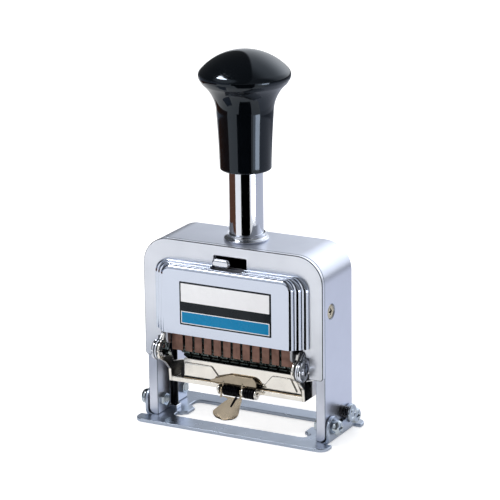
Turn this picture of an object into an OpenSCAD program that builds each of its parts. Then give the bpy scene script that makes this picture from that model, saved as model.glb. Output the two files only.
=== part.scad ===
// Hand numbering machine: a plunger in a standing frame drives twelve number wheels down onto paper,
// while the ink pad that covers them at rest swings out in front.
// Millimetres, +Z up, -Y is the front. The origin is on the plunger's axis, on the surface it stands on.

/* [Casing] */
// Width over the casing's sides
case_w = 82; // [80:0.5:90]
// Depth of the casing, front panel to rear panel
case_d = 27; // [27:0.5:32]
// Height of the casing's top
case_h = 79.5; // [78:0.5:90]
// Outer radius of the casing's top corners
corner_r = 11.5; // [8:0.5:14]
// Thickness of the yoke that forms sides, top and legs
wall = 4.2; // [3.8:0.1:4.6]
// Thickness of the front panel
panel_t = 2; // [1:0.1:2.4]
// Thickness of the rear panel
rear_t = 1.5; // [1:0.1:2]
// Height at which the front and rear panels end
panel_bottom = 28.2; // [24:0.2:32]
// Width of the opening in the front panel
window_w = 63.6; // [63.4:0.1:66]
// Height of the top of that opening
window_top = 57; // [56:0.5:64]
// Rounding of the legs' outer lower corners
foot_r = 2.6; // [2:0.1:3.5]
// Thickness of the lugs that hold the pad carrier's pivots
lug_t = 1.2; // [0.8:0.1:1.5]

/* [Name cover] */
// Width of the cover's outer step
cover_w = 70.2; // [69.8:0.2:74]
// Height of the cover's lower edge
cover_bottom = 41.3; // [41:0.1:44]
// Distance of the cover's upper edge below the casing's top
cover_drop = 8.1; // [7.7:0.1:14]
// How far the cover stands off the front panel
cover_proud = 5.9; // [5.7:0.1:8]
// Number of pressed steps
cover_steps = 3; // [2:1:3]
// Width of each step at the sides
step_side = 2.4; // [1.5:0.1:2.4]
// Width of each step at the top
step_top = 0.5; // [0.2:0.1:1]
// Corner radius of the outer step
cover_r = 6.3; // [5.5:0.1:8]
// How much smaller the corner radius of each further step is
cover_r_less = 0.9; // [0.4:0.1:1]
// Sheet thickness of the cover
cover_sheet = 0.8; // [0.5:0.1:0.8]
// Width of the name plate
label_w = 41.8; // [30:0.2:50]
// Height of the name plate
label_h = 18.3; // [10:0.1:22]
// Thickness of the name plate
label_t = 0.3; // [0.2:0.05:0.6]
// Distance of the name plate's upper edge below the cover's upper edge
label_drop = 7.35; // [5:0.05:9]

/* [Catch] */
// Length of the catch's slot
catch_slot_w = 14.7; // [13:0.1:18]
// Height of the catch's slot
catch_slot_h = 4.6; // [3.6:0.1:5]
// Distance of the slot's centre below the casing's top
catch_drop = 6.8; // [6.6:0.1:7.2]
// Distance of the slot's centre from the middle
catch_x = -0.6; // [-3:0.1:3]
// Length of the catch's button
catch_len = 8.2; // [6:0.1:9]
// Height of the catch's button
catch_h = 3.4; // [2.4:0.1:3.5]
// How far the button stands off the panel
catch_proud = 3; // [2:0.1:4]
// Thickness of the slide behind the panel
catch_slide_t = 1; // [0.6:0.1:1.4]

/* [Base plate] */
// Width of the base plate
base_w = 89; // [87:0.5:96]
// Distance from the plunger's axis to the plate's front edge
base_front = 19.2; // [17:0.2:24]
// Distance from the plunger's axis to the plate's rear edge
base_rear = 20.6; // [17:0.2:24]
// Thickness of the plate
plate_t = 1.5; // [1:0.1:2]
// Corner radius of the plate
base_r = 4; // [2:0.5:6]
// Width of the printing window
print_w = 62.4; // [60:0.2:66]
// Distance from the axis to the window's front edge
print_front = 9.4; // [8:0.2:11]
// Distance from the axis to the window's rear edge
print_rear = 12; // [9:0.2:12.5]
// Corner radius of the window
print_r = 2.6; // [1:0.2:4]
// How far each sighting tab reaches into the window
tab_reach = 3.8; // [2:0.2:4.6]
// Width of each sighting tab
tab_w = 10; // [6:0.5:12]
// Distance of the tabs' centre behind the axis
tab_y = 0; // [-3:0.1:2]
// Inner radius of the bends up to the ears
bend_r = 1.8; // [1.5:0.1:2.4]
// Gap between an ear and the leg beside it
ear_gap = 0.4; // [0.2:0.05:1]
// Radius of an ear's round lobes
lobe_r = 4.6; // [4.2:0.1:4.6]
// Height of an ear's low middle part
ear_mid = 7; // [6:0.1:7]
// Gap beside each ear's bend
relief = 0.6; // [0.3:0.1:1.5]

/* [Base screws] */
// Height of the base screws
screw_z = 7.2; // [7.2:0.1:7.6]
// Distance of the front screws in front of the axis
screw_front = 7.3; // [7.2:0.1:8]
// Distance of the rear screws behind the axis
screw_rear = 9.2; // [9.2:0.1:9.4]
// Shank diameter of the base screws
screw_d = 3; // [2.5:0.1:3.2]
// Head diameter of the base screws
head_d = 6.4; // [5:0.1:6.6]
// Head height of the base screws
head_h = 2.2; // [1.8:0.1:2.4]
// Thickness of the lock washers
lock_t = 1; // [0.5:0.1:1.2]
// Diameter of the lock washers
lock_d = 5.6; // [5:0.1:6.2]
// Width of the slit in a lock washer
lock_slit = 0.6; // [0.3:0.1:1]
// Thickness of the nuts
nut_t = 1.8; // [1.2:0.1:2]
// Width of the nuts across their flats
nut_af = 5; // [4.4:0.1:5]
// Clearance of screws and rods in their holes
hole_gap = 0.1; // [0.05:0.01:0.15]
// Height of the side screws
side_screw_z = 55.6; // [50:0.2:60]
// Distance of the side screws in front of the axis
side_screw_y = 5.6; // [2:0.2:7]
// Head diameter of the side screws
side_head_d = 6; // [4:0.1:7]
// Depth of the side screws' recess
side_recess = 1; // [0.6:0.1:1.4]
// Height of a side screw's head
side_head_t = 0.8; // [0.5:0.1:1.2]

/* [Number wheels] */
// Number of wheels
wheel_count = 12; // [12:1:12]
// Distance from wheel to wheel
wheel_pitch = 4.45; // [4.2:0.01:4.45]
// Gap between two wheels
wheel_gap = 0.3; // [0.2:0.05:0.5]
// Height of the wheels' shaft
shaft_z = 35; // [34.9:0.05:35.2]
// Diameter of the wheels' shaft
shaft_d = 5; // [4:0.1:6]
// Distance from the shaft to the face of a figure
face_r = 10.6; // [10:0.05:10.65]
// Width of a figure's block round the wheel
type_w = 4.9; // [4:0.1:5]
// Width of a figure's block along the shaft
type_l = 3.4; // [2.5:0.1:3.6]
// Radius of a wheel's body
wheel_body_r = 9.3; // [8.6:0.1:9.8]
// Radial clearance of the wheels on the shaft
run_gap = 0.05; // [0.03:0.01:0.08]

/* [Carriage] */
// Distance from the middle to the inner face of each side plate
side_in = 28.1; // [28:0.05:28.2]
// Thickness of the side plates
side_t = 1.1; // [0.8:0.1:1.1]
// Height of the top plate's upper face
top_z = 52; // [51.8:0.1:52.4]
// Thickness of the top plate
top_t = 2; // [1.5:0.1:2.2]
// Radius of the side plates round the shaft
side_r = 8; // [6:0.1:8.5]
// Distance of the comb's front face in front of the axis
comb_y = 14.3; // [14.3:0.05:14.5]
// Thickness of the detent comb
comb_t = 0.6; // [0.4:0.1:0.7]
// Height of the fingers' lower ends
comb_bottom = 32.4; // [32.2:0.1:34]
// Width of the gaps between fingers
finger_gap = 0.9; // [0.5:0.1:1.5]
// Distance from each leg's inner face to the centre of its guide rod
rod_in = 1.9; // [1.8:0.1:2.2]
// Distance of the guide rods in front of the axis
rod_y = 1; // [0:0.1:1.2]
// Diameter of the guide rods
rod_d = 3.4; // [3:0.1:3.4]
// Distance the carriage travels to print
stroke = 24; // [23:0.1:24]

/* [Feed pawls] */
// Distance from the shaft to the pawls' rod
pawl_r = 13; // [12.9:0.05:13]
// Angle of the pawls' rod above the rear horizontal
pawl_angle = 45; // [40:1:50]
// Diameter of the pawls' rod
pawl_rod_d = 2.2; // [1.6:0.1:2.4]
// Thickness of the pawls' side arms
pawl_arm_t = 0.9; // [0.6:0.1:1]
// Gap beside the pawls' side arms
pawl_arm_gap = 0.3; // [0.2:0.05:0.4]

/* [Handle] */
// Outer diameter of the plunger tube
tube_d = 14; // [12:0.1:14.4]
// Wall of the plunger tube
tube_wall = 1.3; // [1:0.1:1.5]
// Height of the knob's lower end
knob_bottom = 109; // [107:0.5:116]
// Diameter of the knob's lower end
knob_foot_d = 20.8; // [18:0.2:22]
// Diameter of the knob's neck where the flare starts
knob_neck_d = 22.8; // [20:0.1:24]
// Diameter of the knob's head
knob_d = 37; // [34:0.2:42]
// Height of the head's widest place above the knob's lower end
knob_rise = 38.8; // [36:0.1:46]
// Height of the dome above the widest place
dome_h = 10.2; // [8:0.1:14]
// Radius of the flare under the head
flare_r = 16; // [12:0.1:18]
// Height over which the knob's foot keeps its width
knob_straight = 9; // [4:0.5:14]
// Radius of the head's edge
knob_edge_r = 3.2; // [2:0.1:5]
// Depth of the tube's seat in the knob
knob_seat = 19; // [14:0.5:22]
// Diameter of the collar's rim
collar_d = 18.4; // [17:0.1:22]
// Height of the collar above the casing
collar_h = 2.9; // [2:0.1:5]
// Wire diameter of the return spring
spring_wire = 1.1; // [0.8:0.1:1.3]
// Turns of the return spring
spring_turns = 15; // [10:1:18]

/* [Pad carrier] */
// Distance of the pivots in front of the axis
pivot_y = 16.65; // [16.5:0.05:16.8]
// Height of the pivots
pivot_z = 32.5; // [32.4:0.1:32.6]
// Diameter of the pivot caps
cap_d = 9; // [7:0.1:9.4]
// Thickness of the pivot caps
cap_t = 1.4; // [0.8:0.1:1.8]
// Diameter of the pivot pins
pin_d = 3.5; // [2.5:0.1:4]
// Distance from the middle to the inner face of each arm
arm_in = 30.3; // [30.2:0.05:30.4]
// Thickness of the arms
arm_t = 1.2; // [0.8:0.1:1.2]
// Height at which an arm's front edge turns down to the tray
knee_z = 22.6; // [21.6:0.1:23]
// Height of the underside of the tray
tray_z = 17.2; // [17.1:0.1:17.6]
// Sheet thickness of the tray
tray_t = 0.8; // [0.5:0.1:0.8]
// Distance of the tray's front edge in front of the axis
tray_front = 9.95; // [9.9:0.05:10.1]
// Distance of the tray's rear edge behind the axis
tray_rear = 8.2; // [7.8:0.1:8.3]
// Height of the front plate's upper edge
plate_top = 27.7; // [26.8:0.1:27.7]
// Width of the front plate at its upper edge
plate_top_w = 50.8; // [46:0.2:52]
// Distance from the middle to the front plate's left end
plate_left = 25.1; // [24:0.1:27]
// How far the front plate's panels are raised
emboss = 0.5; // [0.2:0.1:0.6]
// Distance of the left panel's inner upper corner from the middle
panel_left = 11.4; // [9:0.1:16]
// Distance of the right panel's inner upper corner from the middle
panel_right = 16; // [12:0.1:18]
// How far the panels' inner ends slant
panel_slant = 4.5; // [2:0.1:6]
// Gap between the pad and the wheels above it
pad_gap = 0.3; // [0.2:0.05:0.5]
// Angle through which the carrier swings over the stroke
swing = 132; // [130:0.5:134]
// Distance from the pivot to the drive pin
drive_r = 6; // [5.8:0.1:6]
// Angle of the drive pin above the rear horizontal
drive_angle = 65; // [64:1:67]
// Diameter of the drive pins
drive_d = 2.4; // [1.6:0.1:2.4]
// Clearance of a drive pin in its slot
drive_gap = 0.25; // [0.15:0.05:0.35]

/* [Pad release] */
// Distance of the release lever's pin in front of the axis
clip_y = 13.3; // [13.2:0.05:13.5]
// Height of the lever's pin
clip_z = 18.1; // [17.8:0.1:18.4]
// Distance of the lever's middle from the casing's middle
clip_x = -0.7; // [-3:0.1:1]
// Diameter of the lever's pin
clip_pin_d = 1.6; // [1.2:0.1:1.8]
// Outer radius of the lever's spring
coil_r = 2.3; // [2:0.1:2.4]
// Length of the lever's spring
coil_l = 7.6; // [6:0.1:9]
// Wire diameter of the lever's spring
coil_wire = 0.8; // [0.6:0.1:0.9]
// Turns of the lever's spring
coil_turns = 9; // [6:1:10]
// Length of the dark bush beside the spring
bush_l = 4.6; // [3:0.1:6]
// Radius of the pin's ears
ear_r = 2.2; // [1.8:0.1:2.3]
// Thickness of the pin's ears
ear_t = 0.8; // [0.6:0.1:1]
// Sheet thickness of the lever
lever_t = 0.9; // [0.6:0.1:1]
// Angle at which the lever's lower end leans forward
lever_lean = 25; // [20:1:30]
// Reach of the thumb tab below the pin
thumb_l = 12.7; // [11:0.1:13.5]
// Angle by which the thumb tab is bent forward from the lever
thumb_bend = 14; // [5:1:18]
// Width of the thumb tab at its end
thumb_w = 12.4; // [9:0.1:14]
// Width of the thumb tab at its neck
thumb_neck = 6; // [4:0.1:7]
// Reach of the tongue above the pin
tongue_h = 6.3; // [5.4:0.1:6.4]
// Distance of the tongue's left end from the lever's middle
tongue_left = 10.6; // [9:0.1:12]
// Distance of the tongue's right end from the lever's middle
tongue_right = 10.8; // [9:0.1:12]
// Radius of the tongue's right corner
tongue_r = 3.3; // [2:0.1:3.4]

/* [Hold-down pin] */
// Height of the hold-down pin
hold_z = 10.7; // [10.7:0.1:10.9]
// Distance of the hold-down pin behind the axis
hold_y = 3; // [2.8:0.1:3]
// Diameter of the hold-down pin
hold_d = 2.2; // [1.6:0.1:2.2]
// Diameter of the pin's button
button_d = 7; // [5.5:0.1:8]
// Thickness of the pin's button
button_t = 1; // [0.6:0.1:1.2]
// How far the pin is pushed in
hold_push = 2.6; // [2:0.1:2.6]
// Gap between the pushed-in button and the ears beside it
button_gap = 0.1; // [0.1:0.1:0.4]

/* [Hidden] */
$fn = 64;
half_w = case_w / 2;
inner_x = half_w - wall;
rod_x = inner_x - rod_in;
front = -case_d / 2;
rear = case_d / 2;
leg_bottom = plate_t;
ceiling = case_h - wall;
big = 300;
touch = 0.02;

cover_top = case_h - cover_drop;
label_z = cover_top - label_drop - label_h / 2;
catch_z = case_h - catch_drop;
cover_step_y = cover_proud / cover_steps;
cover_face_y = front - cover_proud;
cover_face_w = cover_w - 2 * step_side * (cover_steps - 1);

ear_in = half_w + ear_gap;
ear_out = ear_in + plate_t;
bend_out = bend_r + plate_t;
bend_x = ear_out - bend_out;
ear_front = -screw_front - lobe_r;
ear_rear = screw_rear + lobe_r;

wheel_w = wheel_pitch - wheel_gap;
wheel_max_r = sqrt(face_r * face_r + type_w * type_w / 4);
side_out = side_in + side_t;
top_under = top_z - top_t;
flange_t = 1.2;
flange_z = 44;
comb_half = side_in - 0.2;

pivot = [-pivot_y, pivot_z];
arm_out = arm_in + arm_t;
lug_in = window_w / 2;
lug_out = lug_in + lug_t;
deg_per_mm = swing / stroke;
drive_slot_r = drive_d / 2 + drive_gap;
slot_steps = 16;
lobe_front = pivot_y + 0.55;

floor_top = tray_z + tray_t;
pad_top = shaft_z - wheel_max_r - pad_gap;
plate_front = tray_front - 0.2;

bridge_z = top_z + 1.3;
bridge_h = 3;
bridge_w = 6;
seat_t = 0.8;
spring_z0 = bridge_z + bridge_h + seat_t;
tube_top = knob_bottom + knob_seat;
plug_h = 5;
spring_z1 = tube_top - plug_h;
stud_d = 6;
stud_h = 12;

// ---------------------------------------------------------------- shapes shared by several pieces

// Extrudes an X-Z outline from y0 to y1
module upright(y0, y1) {
    translate([0, y1, 0])
        rotate([90, 0, 0])
            linear_extrude(y1 - y0)
                children();
}

// Extrudes a Y-Z outline from x0 to x1
module sideways(x0, x1) {
    translate([x0, 0, 0])
        rotate([90, 0, 90])
            linear_extrude(x1 - x0)
                children();
}

// Round bar along X
module bar_x(r, x0, x1) {
    translate([x0, 0, 0])
        rotate([0, 90, 0])
            cylinder(r = r, h = x1 - x0);
}

// Round bar along Y
module bar_y(r, y0, y1) {
    translate([0, y1, 0])
        rotate([90, 0, 0])
            cylinder(r = r, h = y1 - y0);
}

// The child and its mirror image across the middle
module both_sides() {
    children();
    mirror([1, 0, 0])
        children();
}

// X-Z outline, centred in X, with its own top and bottom corner radii
module round_panel(w, z0, z1, r_top, r_low) {
    translate([-w / 2, z0 + r_low])
        square([w, z1 - z0 - r_low - r_top]);
    translate([-w / 2 + r_top, z1 - 2 * r_top])
        square([w - 2 * r_top, 2 * r_top]);
    translate([-w / 2 + r_low, z0])
        square([w - 2 * r_low, 2 * r_low + touch]);
    for (s = [-1, 1]) {
        translate([s * (w / 2 - r_top), z1 - r_top])
            circle(r_top);
        translate([s * (w / 2 - r_low), z0 + r_low])
            circle(r_low);
    }
}

// Plan rectangle from y0 to y1, centred in X, with round corners
module round_plan(w, y0, y1, r) {
    translate([-w / 2 + r, y0])
        square([w - 2 * r, y1 - y0]);
    translate([-w / 2, y0 + r])
        square([w, y1 - y0 - 2 * r]);
    for (x = [-w / 2 + r, w / 2 - r], y = [y0 + r, y1 - r])
        translate([x, y])
            circle(r);
}

// Screw along +Z with its head on z = 0: shank below, head with a round edge above
module pan_screw(head_r, height, shank_r, shank_l) {
    edge = height * 0.7;
    translate([0, 0, -shank_l])
        cylinder(r = shank_r, h = shank_l + touch);
    rotate_extrude()
        polygon(concat(
            [[0, 0], [head_r, 0]],
            [for (a = [0:15:90]) [head_r - edge + edge * cos(a), height - edge + edge * sin(a)]],
            [[0, height]]));
}

// Closed coil of round wire about +Z, from z0 to z1
module coil(radius, wire_r, turns, z0, z1, sides = 6, steps = 12) {
    last = turns * steps;
    rise = (z1 - z0 - 2 * wire_r) / last;
    points = [for (i = [0:last], j = [0:sides - 1])
        let (a = 360 * i / steps, b = 360 * j / sides, r = radius + wire_r * cos(b))
        [r * cos(a), r * sin(a), z0 + wire_r + rise * i + wire_r * sin(b)]];
    skin = [for (i = [0:last - 1], j = [0:sides - 1], half = [0, 1])
        let (k = (j + 1) % sides, p = i * sides, q = p + sides)
        half == 0 ? [p + j, p + k, q + j] : [p + k, q + k, q + j]];
    ends = [[for (j = [0:sides - 1]) sides - 1 - j], [for (j = [0:sides - 1]) last * sides + j]];
    polyhedron(points = points, faces = [for (f = concat(skin, ends)) [for (n = f) n]]);
}

// ---------------------------------------------------------------- casing

// Outer outline of the casing, from a height down to which its lower corners are rounded
module casing_outline(z0, r_low) {
    round_panel(case_w, z0, case_h, corner_r, r_low);
}

// Holes for the base screws, through ears and legs
module base_screw_holes() {
    for (y = [-screw_front, screw_rear])
        translate([0, y, screw_z])
            bar_x(screw_d / 2 + hole_gap, -half_w - 10, half_w + 10);
}

// Hole for the hold-down pin in the right leg
module hold_hole(r) {
    translate([0, hold_y, hold_z])
        bar_x(r, inner_x - 5, half_w + 5);
}

module frame_yoke() color("silver") difference() {
    upright(front + panel_t, rear)
        difference() {
            casing_outline(leg_bottom, foot_r);
            translate([0, leg_bottom - 1])
                round_panel(2 * inner_x, 0, ceiling - leg_bottom + 1, corner_r - wall, touch);
        }
    translate([0, 0, ceiling - 1])
        cylinder(r = collar_spigot_r + hole_gap, h = wall + 2);
    base_screw_holes();
    hold_hole(hold_d / 2 + hole_gap);
    both_sides()
        translate([rod_x, -rod_y, screw_z + head_d])
            cylinder(r = rod_d / 2 + touch, h = ceiling - screw_z - head_d);
    translate([0, -side_screw_y, side_screw_z]) {
        both_sides()
            bar_x(side_head_d / 2 + hole_gap, half_w - side_recess, half_w + 1);
        bar_x(screw_d / 2 + hole_gap, -half_w, half_w);
    }
}

// Lug of the front panel that carries one pivot of the pad carrier
module pivot_lug() {
    root = front + panel_t / 2;
    sideways(lug_in, lug_out)
        difference() {
            union() {
                translate(pivot)
                    circle(cap_d / 2 - 0.4);
                polygon([[pivot[0], pivot[1] + cap_d / 2 - 0.4], [root, cover_bottom - 1],
                         [root, panel_bottom + 0.6], [pivot[0], pivot[1] - cap_d / 2 + 0.4]]);
            }
            translate(pivot)
                circle(pin_d / 2 + hole_gap);
        }
}

module front_panel() color("lightsteelblue") {
    upright(front, front + panel_t)
        difference() {
            casing_outline(panel_bottom, 1.4);
            translate([-window_w / 2, panel_bottom - 1])
                square([window_w, window_top - panel_bottom + 1]);
            catch_slot();
            for (s = [-1, 1])
                translate([s * (lug_out + cap_t / 2 + 0.1) - cap_t / 2 - 0.1, pivot_z - cap_d / 2 - 0.2])
                    square([cap_t + 0.2, cap_d + 0.4]);
        }
    both_sides()
        pivot_lug();
}

module rear_panel() color("lightsteelblue")
    upright(rear - rear_t, rear)
        round_panel(2 * inner_x, panel_bottom, ceiling, corner_r - wall, touch);

// Pressed step number i of the name cover, cut back by a sheet's thickness where inset is set
module cover_step(i, inset)
    upright(front - cover_step_y * (i + 1) + inset, front + touch)
        round_panel(cover_w - 2 * step_side * i - 2 * inset, cover_bottom - 2 * inset,
                    cover_top - step_top * i - inset, cover_r - cover_r_less * i - inset, touch);

module name_cover() color("white") difference() {
    for (i = [0:cover_steps - 1])
        cover_step(i, 0);
    for (i = [0:cover_steps - 1])
        cover_step(i, cover_sheet);
    translate([0, front + big / 2, 0])
        cube([big, big, big], center = true);
    upright(front - cover_proud - 1, front + 1)
        catch_slot();
    translate([0, 0, cover_bottom - big / 2])
        cube([big, big, big], center = true);
}

module name_plate() color("teal")
    upright(cover_face_y - label_t, cover_face_y)
        translate([-label_w / 2, label_z - label_h / 2])
            square([label_w, label_h]);

// X-Z outline of the catch's slot
module catch_slot() {
    translate([catch_x - catch_slot_w / 2, catch_z - catch_slot_h / 2])
        square([catch_slot_w, catch_slot_h]);
}

// X-Z outline with half-round ends, from x0 along a length
module stadium(x0, z, length, height) {
    translate([x0 + height / 2, z - height / 2])
        square([length - height, height]);
    for (x = [x0 + height / 2, x0 + length - height / 2])
        translate([x, z])
            circle(height / 2);
}

catch_x0 = catch_x - catch_slot_w / 2 + 0.3;
catch_button_h = min(catch_h, catch_slot_h - 0.6);

module catch_button() color("silver") {
    upright(front - catch_proud + 0.8, front + panel_t + run_gap)
        stadium(catch_x0 + 0.4, catch_z, catch_len - 0.8, catch_button_h - 0.8);
    upright(front - catch_proud, front - catch_proud + 0.8)
        stadium(catch_x0, catch_z, catch_len, catch_button_h);
}

module catch_slide() color("gray")
    upright(front + panel_t + run_gap, front + panel_t + run_gap + catch_slide_t)
        translate([catch_x - catch_slot_w / 2 - 2, catch_z - catch_slot_h / 2 - 1])
            square([catch_slot_w + 4, min(catch_slot_h + 2, ceiling - catch_z + catch_slot_h / 2 + 0.8)]);

collar_spigot_r = tube_d / 2 + 1.1;

module top_collar() color("silver")
    rotate_extrude()
        polygon(concat(
            [[tube_d / 2 + run_gap, ceiling], [collar_spigot_r, ceiling], [collar_spigot_r, case_h],
             [collar_d / 2, case_h], [collar_d / 2, case_h + 0.6]],
            [for (a = [0:15:90])
                [collar_d / 2 - (collar_d / 2 - tube_d / 2 - 0.7) * sin(a),
                 case_h + 0.6 + (collar_h - 0.6) * (1 - cos(a))]],
            [[tube_d / 2 + run_gap, case_h + collar_h]]));

// ---------------------------------------------------------------- base

// Y-Z outline of an ear above its bend
module ear_outline() {
    translate([ear_front, bend_out])
        square([ear_rear - ear_front, ear_mid - bend_out]);
    for (y = [-screw_front, screw_rear]) {
        translate([y, screw_z])
            circle(lobe_r);
        translate([y - lobe_r, bend_out])
            square([2 * lobe_r, screw_z - bend_out]);
    }
}

module ear() {
    sideways(ear_in, ear_out)
        intersection() {
            ear_outline();
            translate([-big / 2, bend_out])
                square(big);
        }
    upright(ear_front, ear_rear)
        translate([bend_x, bend_out])
            intersection() {
                difference() {
                    circle(bend_out);
                    circle(bend_r);
                }
                translate([0, -bend_out])
                    square(bend_out);
            }
}

module base_outline() {
    difference() {
        round_plan(base_w, -base_front, base_rear, base_r);
        round_plan(print_w, -print_front, print_rear, print_r);
        for (s = [-1, 1])
            translate([s * (bend_x + base_w / 2) - base_w / 2, ear_front - relief])
                square([base_w, ear_rear - ear_front + 2 * relief]);
    }
    for (s = [-1, 1]) {
        translate([s * (print_w / 2 - tab_reach / 2 + 1) - tab_reach / 2 - 1, tab_y - tab_w / 2])
            difference() {
                square([tab_reach + 2, tab_w]);
                for (y = [0, tab_w])
                    translate([s > 0 ? 0 : tab_reach + 2, y])
                        circle(tab_reach * 0.5);
            }
    }
}

module base_plate() color("silver") difference() {
    union() {
        linear_extrude(plate_t)
            base_outline();
        both_sides()
            ear();
        both_sides()
            translate([bend_x - 1, ear_front, 0])
                cube([1, ear_rear - ear_front, plate_t]);
    }
    base_screw_holes();
}

screw_end = inner_x - nut_t;
head_seat = ear_out + lock_t;

module base_screws() color("lightgray")
    both_sides()
        for (y = [-screw_front, screw_rear])
            translate([head_seat, y, screw_z])
                rotate([0, 90, 0])
                    pan_screw(head_d / 2, head_h, screw_d / 2, head_seat - screw_end);

// Lock washers: split rings between the screws' heads and the ears
module base_washers() color("gray")
    both_sides()
        for (y = [-screw_front, screw_rear])
            translate([0, y, screw_z])
                difference() {
                    bar_x(lock_d / 2, ear_out, head_seat);
                    bar_x(screw_d / 2 + touch, 0, half_w + big);
                    translate([ear_out - 1, -lock_slit / 2, 0])
                        cube([lock_t + 2, lock_slit, lock_d]);
                }

module base_nuts() color("gray")
    both_sides()
        for (y = [-screw_front, screw_rear])
            translate([0, y, screw_z])
                difference() {
                    translate([inner_x - nut_t, 0, 0])
                        rotate([0, 90, 0])
                            cylinder(r = nut_af / sqrt(3), h = nut_t, $fn = 6);
                    bar_x(screw_d / 2 + touch, 0, half_w);
                }

module side_screws() color("goldenrod")
    both_sides()
        translate([half_w - side_recess, -side_screw_y, side_screw_z])
            rotate([0, 90, 0])
                pan_screw(side_head_d / 2, side_head_t, screw_d / 2, wall - side_recess);

module guide_rods() color("dimgray")
    both_sides()
        translate([rod_x, -rod_y, plate_t])
            cylinder(r = rod_d / 2, h = ceiling - plate_t);

rod_foot_w = 4;
rod_foot_h = 1.8;

module rod_feet() color("silver")
    both_sides()
        difference() {
            translate([inner_x - rod_foot_w, -rod_y - rod_foot_w / 2, plate_t])
                cube([rod_foot_w, rod_foot_w, rod_foot_h]);
            translate([rod_x, -rod_y, 0])
                cylinder(r = rod_d / 2 + touch, h = 10);
        }

washer_t = 0.5;

module pivot_pins() color("silver")
    both_sides()
        translate([0, pivot[0], pivot[1]])
            rotate([0, 90, 0]) {
                edge = cap_t * 0.5;
                translate([0, 0, arm_in - 0.2 - washer_t])
                    cylinder(r = pin_d / 2 + 1.2, h = washer_t);
                translate([0, 0, arm_in - 0.2 - touch])
                    cylinder(r = pin_d / 2, h = lug_out - arm_in + 0.2 + 2 * touch);
                translate([0, 0, lug_out])
                    rotate_extrude()
                        polygon(concat(
                            [[0, 0], [cap_d / 2, 0]],
                            [for (a = [0:15:90])
                                [cap_d / 2 - edge + edge * cos(a), cap_t - edge + edge * sin(a)]],
                            [[0, cap_t]]));
            }

// ---------------------------------------------------------------- return spring and its seat

module spring_bridge() color("gray") difference() {
    translate([-inner_x, -bridge_w / 2, bridge_z])
        cube([2 * inner_x, bridge_w, bridge_h]);
    both_sides()
        translate([rod_x, -rod_y, 0])
            cylinder(r = rod_d / 2 + touch, h = big);
}

module spring_seat() color("lightgray")
    translate([0, 0, bridge_z + bridge_h])
        cylinder(r = tube_d / 2 - tube_wall - 0.4, h = seat_t);

module return_spring() color("dimgray")
    coil(tube_d / 2 - tube_wall - 0.7 - spring_wire / 2, spring_wire / 2, spring_turns,
         spring_z0, spring_z1);

// ---------------------------------------------------------------- handle

neck_r = knob_neck_d / 2;
knob_r = knob_d / 2;
flare_sweep = 50;
waist_z = knob_bottom + knob_rise - knob_edge_r - flare_r * sin(flare_sweep);
equator = knob_bottom + knob_rise;
dome_from = 45;
dome_base = knob_r - knob_edge_r + knob_edge_r * cos(dome_from);
dome_cap = dome_h - knob_edge_r * sin(dome_from);
dome_r = (dome_base * dome_base + dome_cap * dome_cap) / (2 * dome_cap);
dome_sweep = asin(dome_base / dome_r);
foot_edge = 0.8;

// Outer line of the knob: foot, neck, flare, edge and dome
knob_line = concat(
    [for (a = [-90:30:0])
        [knob_foot_d / 2 + foot_edge * (cos(a) - 1), knob_bottom + foot_edge * (1 + sin(a))]],
    [[knob_foot_d / 2 + 0.2, knob_bottom + knob_straight]],
    [for (a = [0:5:flare_sweep]) [neck_r + flare_r * (1 - cos(a)), waist_z + flare_r * sin(a)]],
    [for (a = [-45:10:dome_from])
        [knob_r - knob_edge_r + knob_edge_r * cos(a), equator + knob_edge_r * sin(a)]],
    [for (i = [1:11]) let (a = dome_sweep * (1 - i / 12))
        [dome_r * sin(a), equator + dome_h - dome_r * (1 - cos(a))]],
    [[0, equator + dome_h]]);

module handle_knob() color([0.05, 0.05, 0.06]) difference() {
    rotate_extrude()
        polygon(concat([[0, knob_bottom]], knob_line));
    translate([0, 0, knob_bottom - 1])
        cylinder(r = tube_d / 2 + touch, h = knob_seat + 1 + touch);
    translate([0, 0, tube_top - 1])
        cylinder(r = stud_d / 2 + touch, h = stud_h + 1 + touch);
}

module plunger_tube() color("silver") difference() {
    translate([0, 0, top_z])
        cylinder(r = tube_d / 2, h = tube_top - top_z);
    translate([0, 0, top_z - 1])
        cylinder(r = tube_d / 2 - tube_wall, h = tube_top - top_z + 2);
    translate([-tube_d, -bridge_w / 2 - 0.3, bridge_z - 0.4])
        cube([2 * tube_d, bridge_w + 0.6, bridge_h + stroke + 0.8]);
}

module knob_stud() color("gray") {
    translate([0, 0, spring_z1])
        cylinder(r = tube_d / 2 - tube_wall - touch, h = plug_h);
    translate([0, 0, tube_top - touch])
        cylinder(r = stud_d / 2, h = stud_h);
}

module plunger_foot() color("gray")
    translate([0, 0, top_z])
        difference() {
            cylinder(r = tube_d / 2 + 3, h = 1);
            translate([0, 0, -1])
                cylinder(r = tube_d / 2 + touch, h = 3);
        }

// ---------------------------------------------------------------- carriage

module carriage_top() color("gray") {
    translate([-side_in, -comb_y + comb_t + flange_t, top_under])
        cube([2 * side_in, comb_y - comb_t - flange_t + side_r, top_t]);
    difference() {
        translate([-comb_half, -comb_y + comb_t, flange_z])
            cube([2 * comb_half, flange_t + touch, top_z - flange_z]);
        comb_holes();
    }
}

// Where the drive pin stands in the carriage after a travel of s millimetres
function drive_at(s) = let (a = drive_angle - deg_per_mm * s)
    [pivot[0] + drive_r * cos(a), pivot[1] + drive_r * sin(a) + s];

// Unit normal of the drive pin's way at the same travel
function drive_normal(s) = let (d = drive_at(s + 0.01) - drive_at(s - 0.01)) [-d[1], d[0]] / norm(d);

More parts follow.
